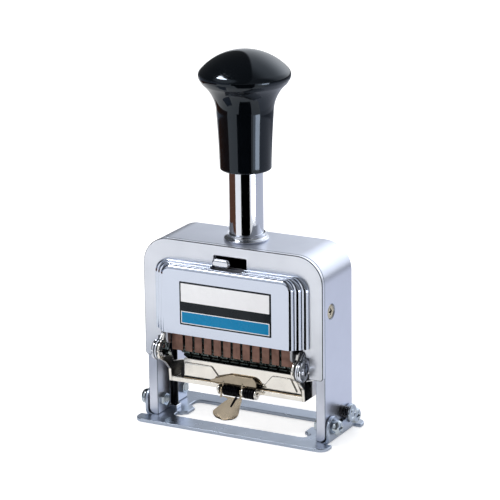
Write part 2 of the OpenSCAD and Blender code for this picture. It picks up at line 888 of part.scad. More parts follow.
// Y-Z outline of the slot that turns the carriage's travel into the pad carrier's swing
module drive_slot() {
    travel = [for (i = [0:slot_steps]) stroke * i / slot_steps];
    polygon(concat(
        [for (s = travel) drive_at(s) + drive_slot_r * drive_normal(s)],
        [for (i = [slot_steps:-1:0]) drive_at(travel[i]) - drive_slot_r * drive_normal(travel[i])]));
    for (s = [0, stroke])
        translate(drive_at(s))
            circle(drive_slot_r);
}

// Y-Z outline of a side plate: round the shaft, up to the top plate, and forward round the drive slot
module side_outline() {
    r = 2;
    low = shaft_z + 0.3;
    high = drive_at(stroke)[1] + drive_slot_r + 1.5;
    difference() {
        union() {
            translate([0, shaft_z])
                circle(side_r);
            translate([-side_r, shaft_z])
                square([2 * side_r, top_z - shaft_z]);
            translate([-lobe_front + r, low])
                square([lobe_front - r - side_r + 2, high - low]);
            translate([-lobe_front, low + r])
                square([r + touch, high - low - 2 * r]);
            for (z = [low + r, high - r])
                translate([-lobe_front + r, z])
                    circle(r);
        }
        translate([0, shaft_z])
            circle(shaft_d / 2 + touch);
        drive_slot();
    }
}

module carriage_side_left() color("gray")
    sideways(-side_out, -side_in)
        side_outline();

module carriage_side_right() color("gray")
    sideways(side_in, side_out)
        side_outline();

clip_ring_r = shaft_d / 2 + 1.3;
shoe_low = hold_z + stroke - 3;
shoe_step = shaft_z + clip_ring_r + 0.4;
shoe_half = 3;
shoe_out = rod_x + 1;
shoe_in = rod_x - rod_d / 2 - 0.8;

module guide_shoes() color("slategray")
    both_sides()
        difference() {
            union() {
                translate([side_out, -rod_y - shoe_half, shoe_step])
                    cube([shoe_out - side_out, 2 * shoe_half, top_under - shoe_step]);
                translate([shoe_in, -rod_y - shoe_half, shoe_low])
                    cube([shoe_out - shoe_in, hold_y + 2.6 + rod_y + shoe_half, shoe_step + 1 - shoe_low]);
            }
            translate([rod_x, -rod_y, 0])
                cylinder(r = rod_d / 2 + run_gap, h = big);
            translate([0, hold_y, hold_z + stroke])
                bar_x(hold_d / 2 + 0.2, side_out, half_w);
        }

module wheel_shaft() color("lightgray")
    translate([0, 0, shaft_z])
        bar_x(shaft_d / 2, -side_out - 0.7, side_out + 0.7);

module shaft_clips() color("gray")
    both_sides()
        translate([0, 0, shaft_z])
            difference() {
                bar_x(clip_ring_r, side_out, side_out + 0.5);
                bar_x(shaft_d / 2 + touch, side_out - 1, side_out + 1);
            }

// Position of gap number k between two wheels, from the middle
function gap_x(k) = (k - wheel_count / 2) * wheel_pitch;

module detent_comb() color("sienna") {
    finger_top = flange_z;
    difference() {
        upright(-comb_y, -comb_y + comb_t)
            translate([-comb_half, comb_bottom])
                square([2 * comb_half, top_z - comb_bottom]);
        upright(-comb_y - 1, -comb_y + comb_t + 1)
            for (k = [1:wheel_count - 1])
                translate([gap_x(k) - finger_gap / 2, comb_bottom - 1])
                    square([finger_gap, finger_top - comb_bottom + 1]);
        comb_holes();
    }
    nose_end = wheel_max_r + 0.35;
    for (k = [0:wheel_count - 1])
        translate([gap_x(k) + wheel_pitch / 2 - 1, -comb_y + comb_t - touch, comb_bottom])
            cube([2, comb_y - comb_t - nose_end, 0.8]);
}

comb_screw_x = [for (share = [-0.712, -0.25, 0.25, 0.712]) share * side_in];
comb_screw_z = (flange_z + top_z) / 2;
comb_screw_r = 1;
comb_head_r = 1.8;
comb_head_h = 0.9;

// Holes through comb and flange for the comb's screws
module comb_holes()
    for (x = comb_screw_x)
        translate([x, 0, comb_screw_z])
            bar_y(comb_screw_r + touch, -comb_y - 1, -comb_y + comb_t + flange_t + 1);

module comb_screws() color("lightgray")
    for (x = comb_screw_x)
        translate([x, -comb_y, comb_screw_z])
            rotate([90, 0, 0])
                pan_screw(comb_head_r, comb_head_h, comb_screw_r, comb_t + flange_t);

// ---------------------------------------------------------------- feed pawls

pawl_arm_in = wheel_count * wheel_pitch / 2 + 0.15;

// Turns the child's outline frame to the pawl rod's rest angle round the shaft
module at_pawls()
    translate([0, shaft_z])
        rotate(pawl_angle)
            children();

module pawl_arms() color("darkgray")
    both_sides()
        sideways(pawl_arm_in, pawl_arm_in + pawl_arm_t)
            at_pawls()
                difference() {
                    union() {
                        circle(shaft_d / 2 + 1.4);
                        translate([0, -1.7])
                            square([pawl_r, 3.4]);
                        translate([pawl_r, 0])
                            circle(1.7);
                    }
                    circle(shaft_d / 2 + run_gap);
                    translate([pawl_r, 0])
                        circle(pawl_rod_d / 2 + touch);
                }

module pawl_rod() color("lightgray")
    sideways(-pawl_arm_in - pawl_arm_t, pawl_arm_in + pawl_arm_t)
        at_pawls()
            translate([pawl_r, 0])
                circle(pawl_rod_d / 2);

pawl_eye_r = pawl_rod_d / 2 + 0.55;
pawl_gap = 0.25;
pawl_nose = 4;
pawl_nose_t = 0.4;

// One pawl: an eye on the rod with a nose that points along the wheels' rims
module pawl_outline() {
    tip_r = wheel_max_r + pawl_gap;
    nose_in = sqrt(tip_r * tip_r - pawl_nose * pawl_nose) + pawl_gap;
    difference() {
        union() {
            translate([pawl_r, 0])
                circle(pawl_eye_r);
            polygon([[pawl_r, pawl_eye_r - touch], [tip_r + 3 * pawl_nose_t, pawl_nose + pawl_nose_t],
                     [nose_in, pawl_nose], [tip_r + pawl_gap / 2, 0]]);
        }
        translate([pawl_r, 0])
            circle(pawl_rod_d / 2 + touch);
    }
}

module feed_pawls() color("gray")
    for (k = [0:wheel_count - 1])
        sideways(gap_x(k) + 0.5, gap_x(k + 1) - 0.5)
            at_pawls()
                pawl_outline();

// ---------------------------------------------------------------- pad carrier

// Y-Z outline of one arm: from the pivot down and back along the end of the tray, with a tail for the pin
module arm_outline() {
    boss = cap_d / 2 - 0.1;
    rear_end = tray_rear - 0.6;
    difference() {
        union() {
            translate(pivot)
                circle(boss);
            polygon([[pivot[0] - boss * 0.5, pivot[1] - boss * 0.86], [pivot[0] + 0.9, knee_z + boss],
                     [-tray_front - 1.5, knee_z], [-tray_front - 1, tray_z],
                     [rear_end, tray_z], [rear_end, tray_z + 3.3], [-2, tray_z + 6.8],
                     [-9, tray_z + 8.3], [pivot[0] + boss * 0.8, pivot[1] + boss * 0.6]]);
            translate(pivot)
                rotate(drive_angle)
                    translate([0, -drive_d / 2 - 0.9])
                        square([drive_r, drive_d + 1.8]);
            translate(drive_at(0))
                circle(drive_d / 2 + 0.9);
        }
        translate(pivot)
            circle(pin_d / 2 + run_gap);
        translate(drive_at(0))
            circle(drive_d / 2 + touch);
    }
}

clip = [-clip_y, clip_z];
side_gap = 0.3;
coil_x0 = clip_x - coil_l / 2;
coil_x1 = clip_x + coil_l / 2;
eye_t = lever_t * 0.7;
ear_x = [coil_x0 - eye_t - 2 * side_gap - ear_t, coil_x1 + eye_t + 2 * side_gap,
         coil_x1 + eye_t + 4 * side_gap + ear_t + bush_l];
lip_h = 2;

// Y-Z outline of an ear bent forward from the tray's lip round the lever's pin
module release_ear() {
    root = -tray_front - tray_t + touch;
    difference() {
        union() {
            translate(clip)
                circle(ear_r);
            polygon([[root, tray_z], [clip[0], clip[1] - ear_r], [clip[0], clip[1] + ear_r],
                     [root, tray_z + lip_h]]);
        }
        translate(clip)
            circle(clip_pin_d / 2 + touch);
    }
}

module pad_tray() color("wheat") {
    both_sides()
        sideways(arm_in, arm_out)
            arm_outline();
    translate([-arm_in - touch, -tray_front, tray_z])
        cube([2 * arm_in + 2 * touch, tray_front + tray_rear, tray_t]);
    translate([-arm_in - touch, -tray_front - tray_t, tray_z])
        cube([2 * arm_in + 2 * touch, tray_t + touch, lip_h]);
    translate([-side_in + 0.6, tray_rear - tray_t, tray_z])
        cube([2 * side_in - 1.2, tray_t, lip_h + 1.6]);
    for (x = ear_x)
        sideways(x, x + ear_t)
            release_ear();
}

// X-Z outline of one raised panel of the front plate, with the places of its outer and inner ends
module raised_panel(outer_low, outer_top, inner_top, inner_low) {
    polygon([[outer_low, floor_top + 2.2], [outer_top, plate_top - 1.6],
             [inner_top, plate_top - 1.6], [inner_low, floor_top + 2.2]]);
}

plate_half_low = arm_in - 0.6;
plate_half_top = plate_top_w / 2;

module pad_front() color("oldlace") {
    upright(-plate_front, -plate_front + tray_t)
        polygon([[-plate_left, floor_top], [plate_half_low, floor_top],
                 [plate_half_low - 0.3, floor_top + 2.8], [plate_half_top + 1.2, plate_top - 0.9],
                 [plate_half_top, plate_top], [-plate_left + 0.6, plate_top],
                 [-plate_left, plate_top - 0.6]]);
    upright(-plate_front - emboss, -plate_front + touch) {
        raised_panel(plate_half_low - 2.2, plate_half_top - 0.4, panel_right, panel_right - panel_slant);
        mirror([1, 0, 0])
            raised_panel(plate_left - 0.3, plate_left - 0.3, panel_left, panel_left - panel_slant);
    }
}

module ink_pad() color([0.09, 0.08, 0.12])
    translate([-side_in + 0.9, -plate_front + tray_t + 0.2, floor_top])
        cube([2 * side_in - 1.8, plate_front + tray_rear - 2 * tray_t - 0.4, pad_top - floor_top]);

module drive_pins() color("lightgray")
    both_sides()
        translate([0, drive_at(0)[0], drive_at(0)[1]])
            bar_x(drive_d / 2, side_in + 0.05, arm_out);

// ---------------------------------------------------------------- pad release

module clip_pin() color("lightgray")
    translate([0, clip[0], clip[1]]) {
        bar_x(clip_pin_d / 2, ear_x[0] - 0.5, ear_x[2] + ear_t + 0.5);
        bar_x(clip_pin_d / 2 + 0.4, ear_x[0] - 0.9, ear_x[0]);
    }

module clip_bush() color([0.1, 0.1, 0.1])
    translate([0, clip[0], clip[1]])
        difference() {
            bar_x(coil_r, ear_x[2] - side_gap - bush_l, ear_x[2] - side_gap);
            bar_x(clip_pin_d / 2 + touch, ear_x[1], ear_x[2]);
            for (i = [1:3])
                translate([ear_x[2] - side_gap - bush_l * i / 4 - 0.2, 0, 0])
                    difference() {
                        bar_x(coil_r + 1, 0, 0.4);
                        bar_x(coil_r - 0.35, -1, 1);
                    }
        }

module clip_spring() color([0.12, 0.12, 0.12])
    translate([0, clip[0], clip[1]])
        rotate([0, 90, 0])
            coil(coil_r - coil_wire / 2, coil_wire / 2, coil_turns, coil_x0, coil_x1, 6, 10);

// Y-Z outline of the lever's side wall beside its spring, which joins the tongue to the thumb tab
module lever_side() {
    reach = coil_r + side_gap + lever_t;
    difference() {
        union() {
            circle(clip_pin_d / 2 + 0.7);
            translate([-lever_t / 2, -reach])
                square([lever_t, 2 * reach]);
        }
        circle(clip_pin_d / 2 + run_gap);
    }
}

// X-Z outline of the fan-shaped thumb tab, from its neck on z = 0 down a length
module thumb_outline(down) {
    polygon([[thumb_neck / 2, 0], [thumb_w / 2, -down + thumb_w / 3],
             [-thumb_w / 2, -down + thumb_w / 3], [-thumb_neck / 2, 0]]);
    intersection() {
        translate([0, -down + thumb_w * 0.58])
            circle(thumb_w * 0.58);
        translate([-thumb_w / 2, -down])
            square([thumb_w, thumb_w / 3 + touch]);
    }
}

// Release lever: a tongue above the pin and a thumb tab bent forward below it, round the spring
module release_lever() color("tan") {
    clear = coil_r + side_gap;
    x1 = coil_l / 2 + side_gap;
    neck_z = -clear - lever_t;
    translate([clip_x, clip[0], clip[1]])
        rotate([-lever_lean, 0, 0]) {
            both_sides()
                sideways(x1, x1 + eye_t)
                    lever_side();
            upright(-lever_t / 2, lever_t / 2) {
                polygon([[-x1 - eye_t, -clear], [x1 + eye_t, -clear], [thumb_neck / 2, neck_z],
                         [-thumb_neck / 2, neck_z]]);
                polygon([[-tongue_left, clear], [-tongue_left + 0.6, clear + 0.8],
                         [-tongue_left * 0.35, tongue_h - 0.6], [-tongue_left * 0.1, tongue_h],
                         [tongue_right - tongue_r, tongue_h], [tongue_right - tongue_r, clear]]);
                intersection() {
                    translate([tongue_right - tongue_r, tongue_h - tongue_r])
                        circle(tongue_r);
                    translate([0, clear])
                        square([tongue_right, tongue_h]);
                }
            }
            translate([0, 0, neck_z])
                rotate([-thumb_bend, 0, 0]) {
                    bar_x(lever_t / 2, -thumb_neck / 2, thumb_neck / 2);
                    upright(-lever_t / 2, lever_t / 2)
                        thumb_outline(thumb_l + neck_z);
                }
        }
}

// ---------------------------------------------------------------- hold-down pin

button_x = ear_out + button_gap + hold_push + button_t;

module hold_pin() color("lightgray")
    translate([0, hold_y, hold_z]) {
        bar_x(hold_d / 2, inner_x, button_x - button_t + touch);
        translate([button_x - button_t, 0, 0])
            rotate([0, 90, 0])
                pan_screw(button_d / 2, button_t, hold_d / 2, touch);
    }

module hold_spring() color([0.15, 0.15, 0.16])
    translate([0, hold_y, hold_z])
        rotate([0, 90, 0])
            coil(1.9, 0.4, 3, half_w, button_x - button_t);

// ---------------------------------------------------------------- number wheels

// One wheel: a disc with ten figure blocks round its rim, one of them facing straight down
module number_wheel(k) color("silver") {
    x = gap_x(k) + wheel_pitch / 2;
    difference() {
        union() {
            sideways(x - wheel_w / 2, x + wheel_w / 2)
                translate([0, shaft_z])
                    circle(wheel_body_r);
            sideways(x - type_l / 2, x + type_l / 2)
                translate([0, shaft_z])
                    for (f = [0:9])
                        rotate(36 * f - 90)
                            translate([wheel_body_r - 1, -type_w / 2])
                                square([face_r - wheel_body_r + 1, type_w]);
        }
        translate([0, 0, shaft_z])
            bar_x(shaft_d / 2 + run_gap, x - wheel_w, x + wheel_w);
    }
}

frame_yoke();
front_panel();
rear_panel();
name_cover();
name_plate();
top_collar();
base_plate();
base_screws();
base_washers();
base_nuts();
side_screws();
guide_rods();
rod_feet();
pivot_pins();
spring_bridge();
spring_seat();
return_spring();
catch_button();
catch_slide();
hold_pin();
hold_spring();
handle_knob();
plunger_tube();
knob_stud();
plunger_foot();
carriage_top();
carriage_side_left();
carriage_side_right();
guide_shoes();
wheel_shaft();
shaft_clips();
detent_comb();
comb_screws();
pawl_arms();
pawl_rod();
feed_pawls();
pad_tray();
pad_front();
ink_pad();
drive_pins();
clip_bush();
clip_pin();
clip_spring();
release_lever();
number_wheel(0);  // number_wheel_01
number_wheel(1);  // number_wheel_02
number_wheel(2);  // number_wheel_03
number_wheel(3);  // number_wheel_04
number_wheel(4);  // number_wheel_05
number_wheel(5);  // number_wheel_06
number_wheel(6);  // number_wheel_07
number_wheel(7);  // number_wheel_08
number_wheel(8);  // number_wheel_09
number_wheel(9);  // number_wheel_10
number_wheel(10);  // number_wheel_11
number_wheel(11);  // number_wheel_12
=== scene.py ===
"""Dresses the hand numbering machine: its visible pieces get their real form and finish, and a stage to stand on."""

import math

import bmesh
import bpy
from bpy.props import FloatProperty, FloatVectorProperty, IntProperty, PointerProperty
from mathutils import Matrix, Vector


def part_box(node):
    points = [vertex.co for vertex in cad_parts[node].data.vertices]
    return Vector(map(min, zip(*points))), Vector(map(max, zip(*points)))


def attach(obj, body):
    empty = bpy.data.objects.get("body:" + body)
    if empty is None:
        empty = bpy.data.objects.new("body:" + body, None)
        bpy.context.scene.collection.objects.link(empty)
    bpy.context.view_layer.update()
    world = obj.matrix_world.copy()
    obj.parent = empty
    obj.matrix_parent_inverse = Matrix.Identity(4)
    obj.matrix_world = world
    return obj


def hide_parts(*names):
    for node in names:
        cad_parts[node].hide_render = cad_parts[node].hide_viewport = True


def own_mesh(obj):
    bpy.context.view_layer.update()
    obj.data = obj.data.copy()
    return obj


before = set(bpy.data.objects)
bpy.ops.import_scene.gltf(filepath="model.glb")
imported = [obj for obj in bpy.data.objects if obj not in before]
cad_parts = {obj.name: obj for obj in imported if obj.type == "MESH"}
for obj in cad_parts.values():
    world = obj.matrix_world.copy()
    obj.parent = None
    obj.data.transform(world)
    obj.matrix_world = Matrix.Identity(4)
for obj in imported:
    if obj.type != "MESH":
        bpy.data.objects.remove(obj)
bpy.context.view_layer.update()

bl_info = {
    "name": "Hand numbering machine",
    "version": (1, 0, 0),
    "blender": (4, 5, 0),
    "location": "View3D > Sidebar > Numbering machine",
    "description": "Builds the visible pieces of a hand numbering machine on its CAD frame",
    "category": "Object",
}

MM = 0.001


def srgb(code):
    """Linear red, green and blue of an sRGB hex value."""
    parts = [int(code[i : i + 2], 16) / 255 for i in (1, 3, 5)]
    return [c / 12.92 if c <= 0.04045 else ((c + 0.055) / 1.055) ** 2.4 for c in parts]


def length(label, note, millimetres):
    """A length that a user can change, given in millimetres."""
    return FloatProperty(name=label, description=note, default=millimetres * MM, unit="LENGTH",
                         subtype="DISTANCE", precision=2)


def colour(label, note, code):
    """A colour that a user can change, given as an sRGB hex value."""
    return FloatVectorProperty(name=label, description=note, subtype="COLOR", default=srgb(code), min=0.0, max=1.0)


# ---------------------------------------------------------------- settings


class CasingSettings(bpy.types.PropertyGroup):
    edge: length("Edge rounding", "Radius of the casing's broken edges", 0.3)
    plate_edge: length("Base edge rounding", "Radius of the base plate's edges", 0.35)
    satin: colour("Satin chrome", "Reflected colour of the casing's satin plating", "#DBDFEB")
    bright: colour("Bright chrome", "Reflected colour of the polished plating", "#DCDFE6")
    brass: colour("Brass", "Colour of the side screws", "#D9CDB2")


class CoverSettings(bpy.types.PropertyGroup):
    step_edge: length("Step rounding", "Outer radius of the lower pressed steps", 1.75)
    face_edge: length("Face rounding", "Outer radius of the top step", 1.75)
    step_root: length("Root fillet", "Inner radius at the foot of a step", 0.2)
    notch_left: length("Notch, left", "Left side of the catch's notch", -7.95)
    notch_right: length("Notch, right", "Right side of the catch's notch", 6.75)
    notch_foot: length("Notch, foot", "Height of the notch's lower edge", 70.4)
    border: length("Border", "Width of the name plate's dark border", 0.65)
    white_field: length("White field", "Height of the name plate's white field", 7.8)
    dark_band: length("Dark band", "Height of the dark band under it", 4.0)
    line: length("Fine line", "Width of the white line round the blue band", 0.32)
    enamel_white: colour("White enamel", "Colour of the white field", "#FBFBFD")
    enamel_dark: colour("Dark enamel", "Colour of border and dark band", "#10181F")
    enamel_blue: colour("Blue enamel", "Colour of the lower band", "#0082B4")


class HandleSettings(bpy.types.PropertyGroup):
    segments: IntProperty(name="Segments", description="Sides of the turned pieces", default=96, min=24)
    plastic: colour("Black plastic", "Colour of the knob", "#030508")


class WorksSettings(bpy.types.PropertyGroup):
    figure: length("Figure height", "Height of a figure on its block", 3.7)
    relief: length("Figure relief", "How far a figure stands off its block", 0.4)
    temper: colour("Tempered steel", "Brown of the detent comb", "#8C6C60")
    zinc: colour("Plated steel", "Colour of the hidden works", "#B9BBC0")


class PadSettings(bpy.types.PropertyGroup):
    crown: length("Crown", "How much lower the ink pad is along its edges", 0.8)
    nickel: colour("Nickel", "Reflected colour of tray, front plate and lever", "#F2EDE4")
    ink: colour("Ink", "Colour of the inked cloth", "#17151F")


class StageSettings(bpy.types.PropertyGroup):
    floor: colour("Floor", "Colour of the floor", "#F4F4F4")
    daylight: FloatProperty(name="Ambient level", description="Even light from all round", default=0.75, min=0.0)


SETTINGS = {
    "machine_casing": CasingSettings,
    "machine_cover": CoverSettings,
    "machine_handle": HandleSettings,
    "machine_works": WorksSettings,
    "machine_pad": PadSettings,
    "machine_stage": StageSettings,
}


# ---------------------------------------------------------------- finishes


def add(tree, kind, feeds=None, out=0, **settings):
    """Adds one shader node and gives one of its outputs. Feeds are values, or sockets that drive its inputs."""
    node = tree.nodes.new("ShaderNode" + kind)
    for key, value in settings.items():
        setattr(node, key, value)
    for key, value in (feeds or {}).items():
        if isinstance(value, bpy.types.NodeSocket):
            tree.links.new(value, node.inputs[key])
        else:
            node.inputs[key].default_value = value
    return node.outputs[out] if node.outputs else None


def paint(tone, shade=1.0):
    """A node's colour, at a share of its brightness."""
    return [c * shade for c in tone[:3]] + [1.0]


def blank(name):
    """A new material with an empty tree, and its object coordinates in metres."""
    material = bpy.data.materials.new(name)
    material.use_nodes = True
    tree = material.node_tree
    tree.nodes.clear()
    return material, tree, add(tree, "TexCoord", out="Object")


def surface(material, tree, tint, rough, height, strength, relief, values):
    """Ends a material with its shader. Relief is in millimetres, and values are the same all over the surface."""
    bump = add(tree, "Bump", {"Height": height, "Strength": strength, "Distance": relief * MM})
    shader = add(tree, "BsdfPrincipled", {"Base Color": tint, "Roughness": rough, "Normal": bump, **values})
    add(tree, "OutputMaterial", {"Surface": shader})
    return material


def metal(name, tone, roughness, spread, grit, relief, lay=(1, 1, 1), cloud=9.0, shade=0.9, amount=0.25,
          metallic=1.0):
    """A metal surface. Grit is the grain's size and relief its height in millimetres, lay stretches the grain,
    cloud is the size in millimetres of the handling marks that change tone and roughness."""
    material, tree, where = blank(name)
    laid = add(tree, "Mapping", {"Vector": where, "Scale": lay})
    grain = add(tree, "TexNoise", {"Vector": laid, "Scale": 1 / (grit * MM), "Detail": 2.0})
    marks = add(tree, "TexNoise", {"Vector": where, "Scale": 1 / (cloud * MM), "Detail": 4.0, "Roughness": 0.6})
    worn = add(tree, "MapRange", {"Value": marks, "From Min": 0.35, "From Max": 0.7})
    both = add(tree, "Math", {0: grain, 1: 0.35, 2: worn}, operation="MULTIPLY_ADD")
    rough = add(tree, "MapRange", {"Value": both, "From Max": 1.3, "To Min": max(0.02, roughness - spread),
                                   "To Max": roughness + spread})
    share = add(tree, "Math", {0: worn, 1: amount}, operation="MULTIPLY")
    tint = add(tree, "Mix", {0: share, 6: paint(tone), 7: paint(tone, shade)}, 2, data_type="RGBA")
    return surface(material, tree, tint, rough, grain, 0.5, relief, {"Metallic": metallic})


def satin_chrome(scene):
    # Steel, glass-bead blasted at about 0.1 mm and chromed: a pale bluish metal with soft reflections.
    # The grain is drawn at 0.35 mm, so that it shows as a faint tooth.
    return metal("satin_chrome_on_steel", scene.machine_casing.satin, 0.33, 0.04, 0.35, 0.002, cloud=14.0,
                 metallic=0.9)


def satin_edge(scene):
    # The yoke's broken edges: a darker and rougher chrome than its faces, painted shade that keeps them from reading
    # bright.
    return metal("dull_chrome_painted_shade_on_edges", srgb("#AAB2C0"), 0.6, 0.05, 0.35, 0.002, cloud=14.0)


def satin_panel(scene):
    # The same blasting and chrome on the flat panel, painted a shade lighter: painted light on the casing's front face.
    return metal("satin_chrome_painted_lighter_on_panel", srgb("#F0F3FA"), 0.33, 0.04, 0.35, 0.002, cloud=14.0, metallic=0.86)


def satin_base(scene):
    # The base plate's chrome is darker than the casing's and reflects less.
    return metal("darker_satin_chrome_on_base", srgb("#B2BCCC"), 0.3, 0.05, 0.35, 0.006)


def bright_chrome(scene):
    # Polished steel with decorative chrome: a mirror with hard black and white bands and faint wiping marks.
    return metal("bright_chrome_on_steel", scene.machine_casing.bright, 0.055, 0.03, 0.5, 0.0012, cloud=6.0,
                 shade=0.93)


def pressed_chrome(scene):
    # Pressed sheet, polished less than the tube: mirror edges, with a little haze on the broad face.
    return metal("polished_chrome_on_pressed_sheet", srgb("#CFD6E4"), 0.1, 0.03, 1.5, 0.0003, cloud=10.0, shade=0.94)


def chromed_screw(scene):
    # Machine screws, zinc plated and tumbled: bright, with small dents about 0.3 mm across.
    return metal("bright_zinc_on_screw_steel", srgb("#BAC3CA"), 0.12, 0.06, 0.3, 0.006, cloud=1.5, shade=0.6)


def brass(scene):
    # Brass-plated screw head: warm and a little tarnished in its recess.
    return metal("brass_plated_screw", scene.machine_casing.brass, 0.24, 0.08, 0.3, 0.005, cloud=1.6, shade=0.55,
                 amount=0.6)


def rod_steel(scene):
    # Guide rod, ground and blued: nearly black, with a polished run from the sliding shoes.
    return metal("blued_ground_rod", srgb("#121317"), 0.16, 0.05, 0.25, 0.0015, lay=(1, 1, 8), cloud=5.0, shade=0.6)


def plated_steel(scene):
    # Stamped works in dull zinc: grey metal, rolled along X, with light handling marks.
    return metal("dull_zinc_on_stampings", scene.machine_works.zinc, 0.34, 0.08, 0.3, 0.005, lay=(0.2, 1, 1),
                 cloud=5.0, shade=0.7, amount=0.5)


def spring_steel(scene):
    # Oil-tempered music wire: dark brown-grey, drawn smooth.
    return metal("oil_tempered_wire", srgb("#4A4A4C"), 0.24, 0.06, 0.2, 0.002, cloud=2.0, shade=0.6)


def black_wire(scene):
    # Black-oxide wire: almost black, with a soft sheen on the outside of each turn.
    return metal("black_oxide_wire", srgb("#17171A"), 0.3, 0.08, 0.2, 0.003, cloud=2.0, shade=0.6)


def tempered_comb(scene):
    # Hardened and tempered strip, brown from the heat, brushed along its fingers: a dull copper-brown.
    return metal("brown_tempered_strip", scene.machine_works.temper, 0.46, 0.08, 0.22, 0.01, lay=(1, 1, 0.12),
                 cloud=3.5, shade=0.6, amount=0.7)


def nickel(scene):
    # Nickel-plated pressings: a warm, slightly yellow mirror with shallow waves from the press.
    return metal("nickel_on_pressings", scene.machine_pad.nickel, 0.12, 0.05, 0.6, 0.003, cloud=6.0, shade=0.8,
                 amount=0.5)


def warm_nickel(scene):
    # The lever is worn by the thumb: tan metal, duller than the tray. The same tan makes the painted reflection along
    # the front plate's foot.
    return metal("worn_lever_nickel_and_painted_reflection", srgb("#C4B39A"), 0.2, 0.08, 0.4, 0.003, cloud=4.0, shade=0.75, amount=0.6)


def wheel_steel(scene):
    # Engraved wheels, blackened by years of ink, with a little bright metal left.
    return metal("inked_wheel_steel", srgb("#5C6663"), 0.2, 0.08, 0.3, 0.006, cloud=1.8, shade=0.3, amount=0.9)


def worn_crest(scene):
    # Painted highlight: a bright metal on the wheels' edges, where they catch the light.
    return metal("painted_highlight_wheel_edge", srgb("#D5DED6"), 0.2, 0.08, 0.3, 0.004, cloud=1.8, shade=0.5, amount=0.6)


def seam_shade(scene):
    # Painted shade: a dull, dark metal laid on edges and at the foot of folds, where a seam or crease falls into shade.
    return metal("painted_seam_shade_metal", srgb("#4A4E57"), 0.4, 0.1, 0.3, 0.004, cloud=3.0, shade=0.6)


def slot_shade(scene):
    # Painted shade: a nearly black metal laid in slots, recesses and gaps, where shade falls.
    return metal("painted_shade_dark_steel", srgb("#15161A"), 0.45, 0.1, 0.3, 0.004, cloud=3.0, shade=0.5)


def black_plastic(scene):
    # Compression-moulded phenolic, buffed: deep black, glossy, with very faint finger haze over 12 mm.
    material, tree, where = blank("black_phenolic_moulding")
    haze = add(tree, "TexNoise", {"Vector": where, "Scale": 1 / (12 * MM), "Detail": 5.0, "Roughness": 0.65})
    rough = add(tree, "MapRange", {"Value": haze, "From Min": 0.35, "From Max": 0.75, "To Min": 0.05,
                                   "To Max": 0.13})
    base = scene.machine_handle.plastic
    tint = add(tree, "Mix", {0: haze, 6: paint(base), 7: paint([c * 1.8 + 0.001 for c in base])}, 2,
               data_type="RGBA")
    swirl = add(tree, "TexNoise", {"Vector": where, "Scale": 1 / (2.5 * MM), "Detail": 2.0})
    return surface(material, tree, tint, rough, swirl, 0.4, 0.004,
                   {"IOR": 1.55, "Specular IOR Level": 0.4, "Specular Tint": paint(srgb("#E1F0FF"))})


def enamel(name, tone):
    """Baked enamel on an aluminium plate: glossy, with orange peel about 0.8 mm across and specks of dust."""
    material, tree, where = blank(name)
    peel = add(tree, "TexNoise", {"Vector": where, "Scale": 1 / (0.8 * MM), "Detail": 2.0})
    wear = add(tree, "TexNoise", {"Vector": where, "Scale": 1 / (5 * MM), "Detail": 5.0})
    rough = add(tree, "MapRange", {"Value": wear, "From Min": 0.3, "From Max": 0.7, "To Min": 0.18, "To Max": 0.34})
    tint = add(tree, "Mix", {0: wear, 6: paint(tone), 7: paint(tone, 0.9)}, 2, data_type="RGBA")
    return surface(material, tree, tint, rough, peel, 0.4, 0.01, {"IOR": 1.5, "Specular IOR Level": 0.25})


def white_enamel(scene):
    # Field and fine line: a clean, slightly cool white.
    return enamel("white_baked_enamel", scene.machine_cover.enamel_white)


def dark_enamel(scene):
    # Border and band: blue-black, and it shows the lamps most.
    return enamel("dark_baked_enamel", scene.machine_cover.enamel_dark)


def blue_enamel(scene):
    # Lower band: a clear, deep sky blue.
    return enamel("blue_baked_enamel", scene.machine_cover.enamel_blue)


def inked_cloth(scene):
    # Plain-woven cotton over felt, soaked in ink: threads 0.35 mm apart, wet on the crests.
    material, tree, where = blank("inked_cotton_over_felt")
    scale = 2 * math.pi / (0.7 * MM) / 20
    warp, weft = [add(tree, "TexWave", {"Vector": where, "Scale": scale}, "Fac", bands_direction=way) for way in "XY"]
    weave = add(tree, "Math", {0: warp, 1: weft}, operation="MAXIMUM")
    wet = add(tree, "TexNoise", {"Vector": where, "Scale": 1 / (6 * MM), "Detail": 3.0})
    rough = add(tree, "MapRange", {"Value": wet, "From Min": 0.3, "From Max": 0.7, "To Min": 0.35, "To Max": 0.85})
    ink = scene.machine_pad.ink
    tint = add(tree, "Mix", {0: weave, 6: paint(ink, 0.5), 7: paint(ink)}, 2, data_type="RGBA")
    return surface(material, tree, tint, rough, weave, 0.8, 0.12, {"Sheen Weight": 0.15})


_finishes = {}


def finish(make):
    """The material that a finish function makes, made once."""
    if make not in _finishes:
        _finishes[make] = make(bpy.context.scene)
    return _finishes[make]


# ---------------------------------------------------------------- forms, in millimetres


def joined(*parts):
    """Several forms as one."""
    points, faces = [], []
    for more, skin in parts:
        start = len(points)
        points += more
        faces += [tuple(i + start for i in face) for face in skin]
    return points, faces


def placed(part, origin, u, v, w):
    """A form with its own axes laid along u, v and w from an origin."""
    o, u, v, w = Vector(origin), Vector(u), Vector(v), Vector(w)
    return [tuple(o + u * x + v * y + w * z) for x, y, z in part[0]], part[1]


def across_x(part, x=0, y=0, z=0):
    """A form turned so that its +Z points out along +X."""
    return placed(part, (x, y, z), (0, 1, 0), (0, 0, 1), (1, 0, 0))


def to_front(part, y=0):
    """A form stood up so that its +Z points to the front, along -Y."""
    return placed(part, (0, y, 0), (1, 0, 0), (0, 0, 1), (0, -1, 0))


def mirrored(part):
    """A form and its mirror image across the middle."""
    return joined(part, ([(-x, y, z) for x, y, z in part[0]], [tuple(reversed(face)) for face in part[1]]))


def arc(x, y, radius, start, end, steps, high=None):
    """Points of an arc, with its angles in degrees. High is its radius along Y where that differs."""
    turn = [math.radians(start + (end - start) * i / steps) for i in range(steps + 1)]
    return [(x + radius * math.cos(a), y + (high or radius) * math.sin(a)) for a in turn]


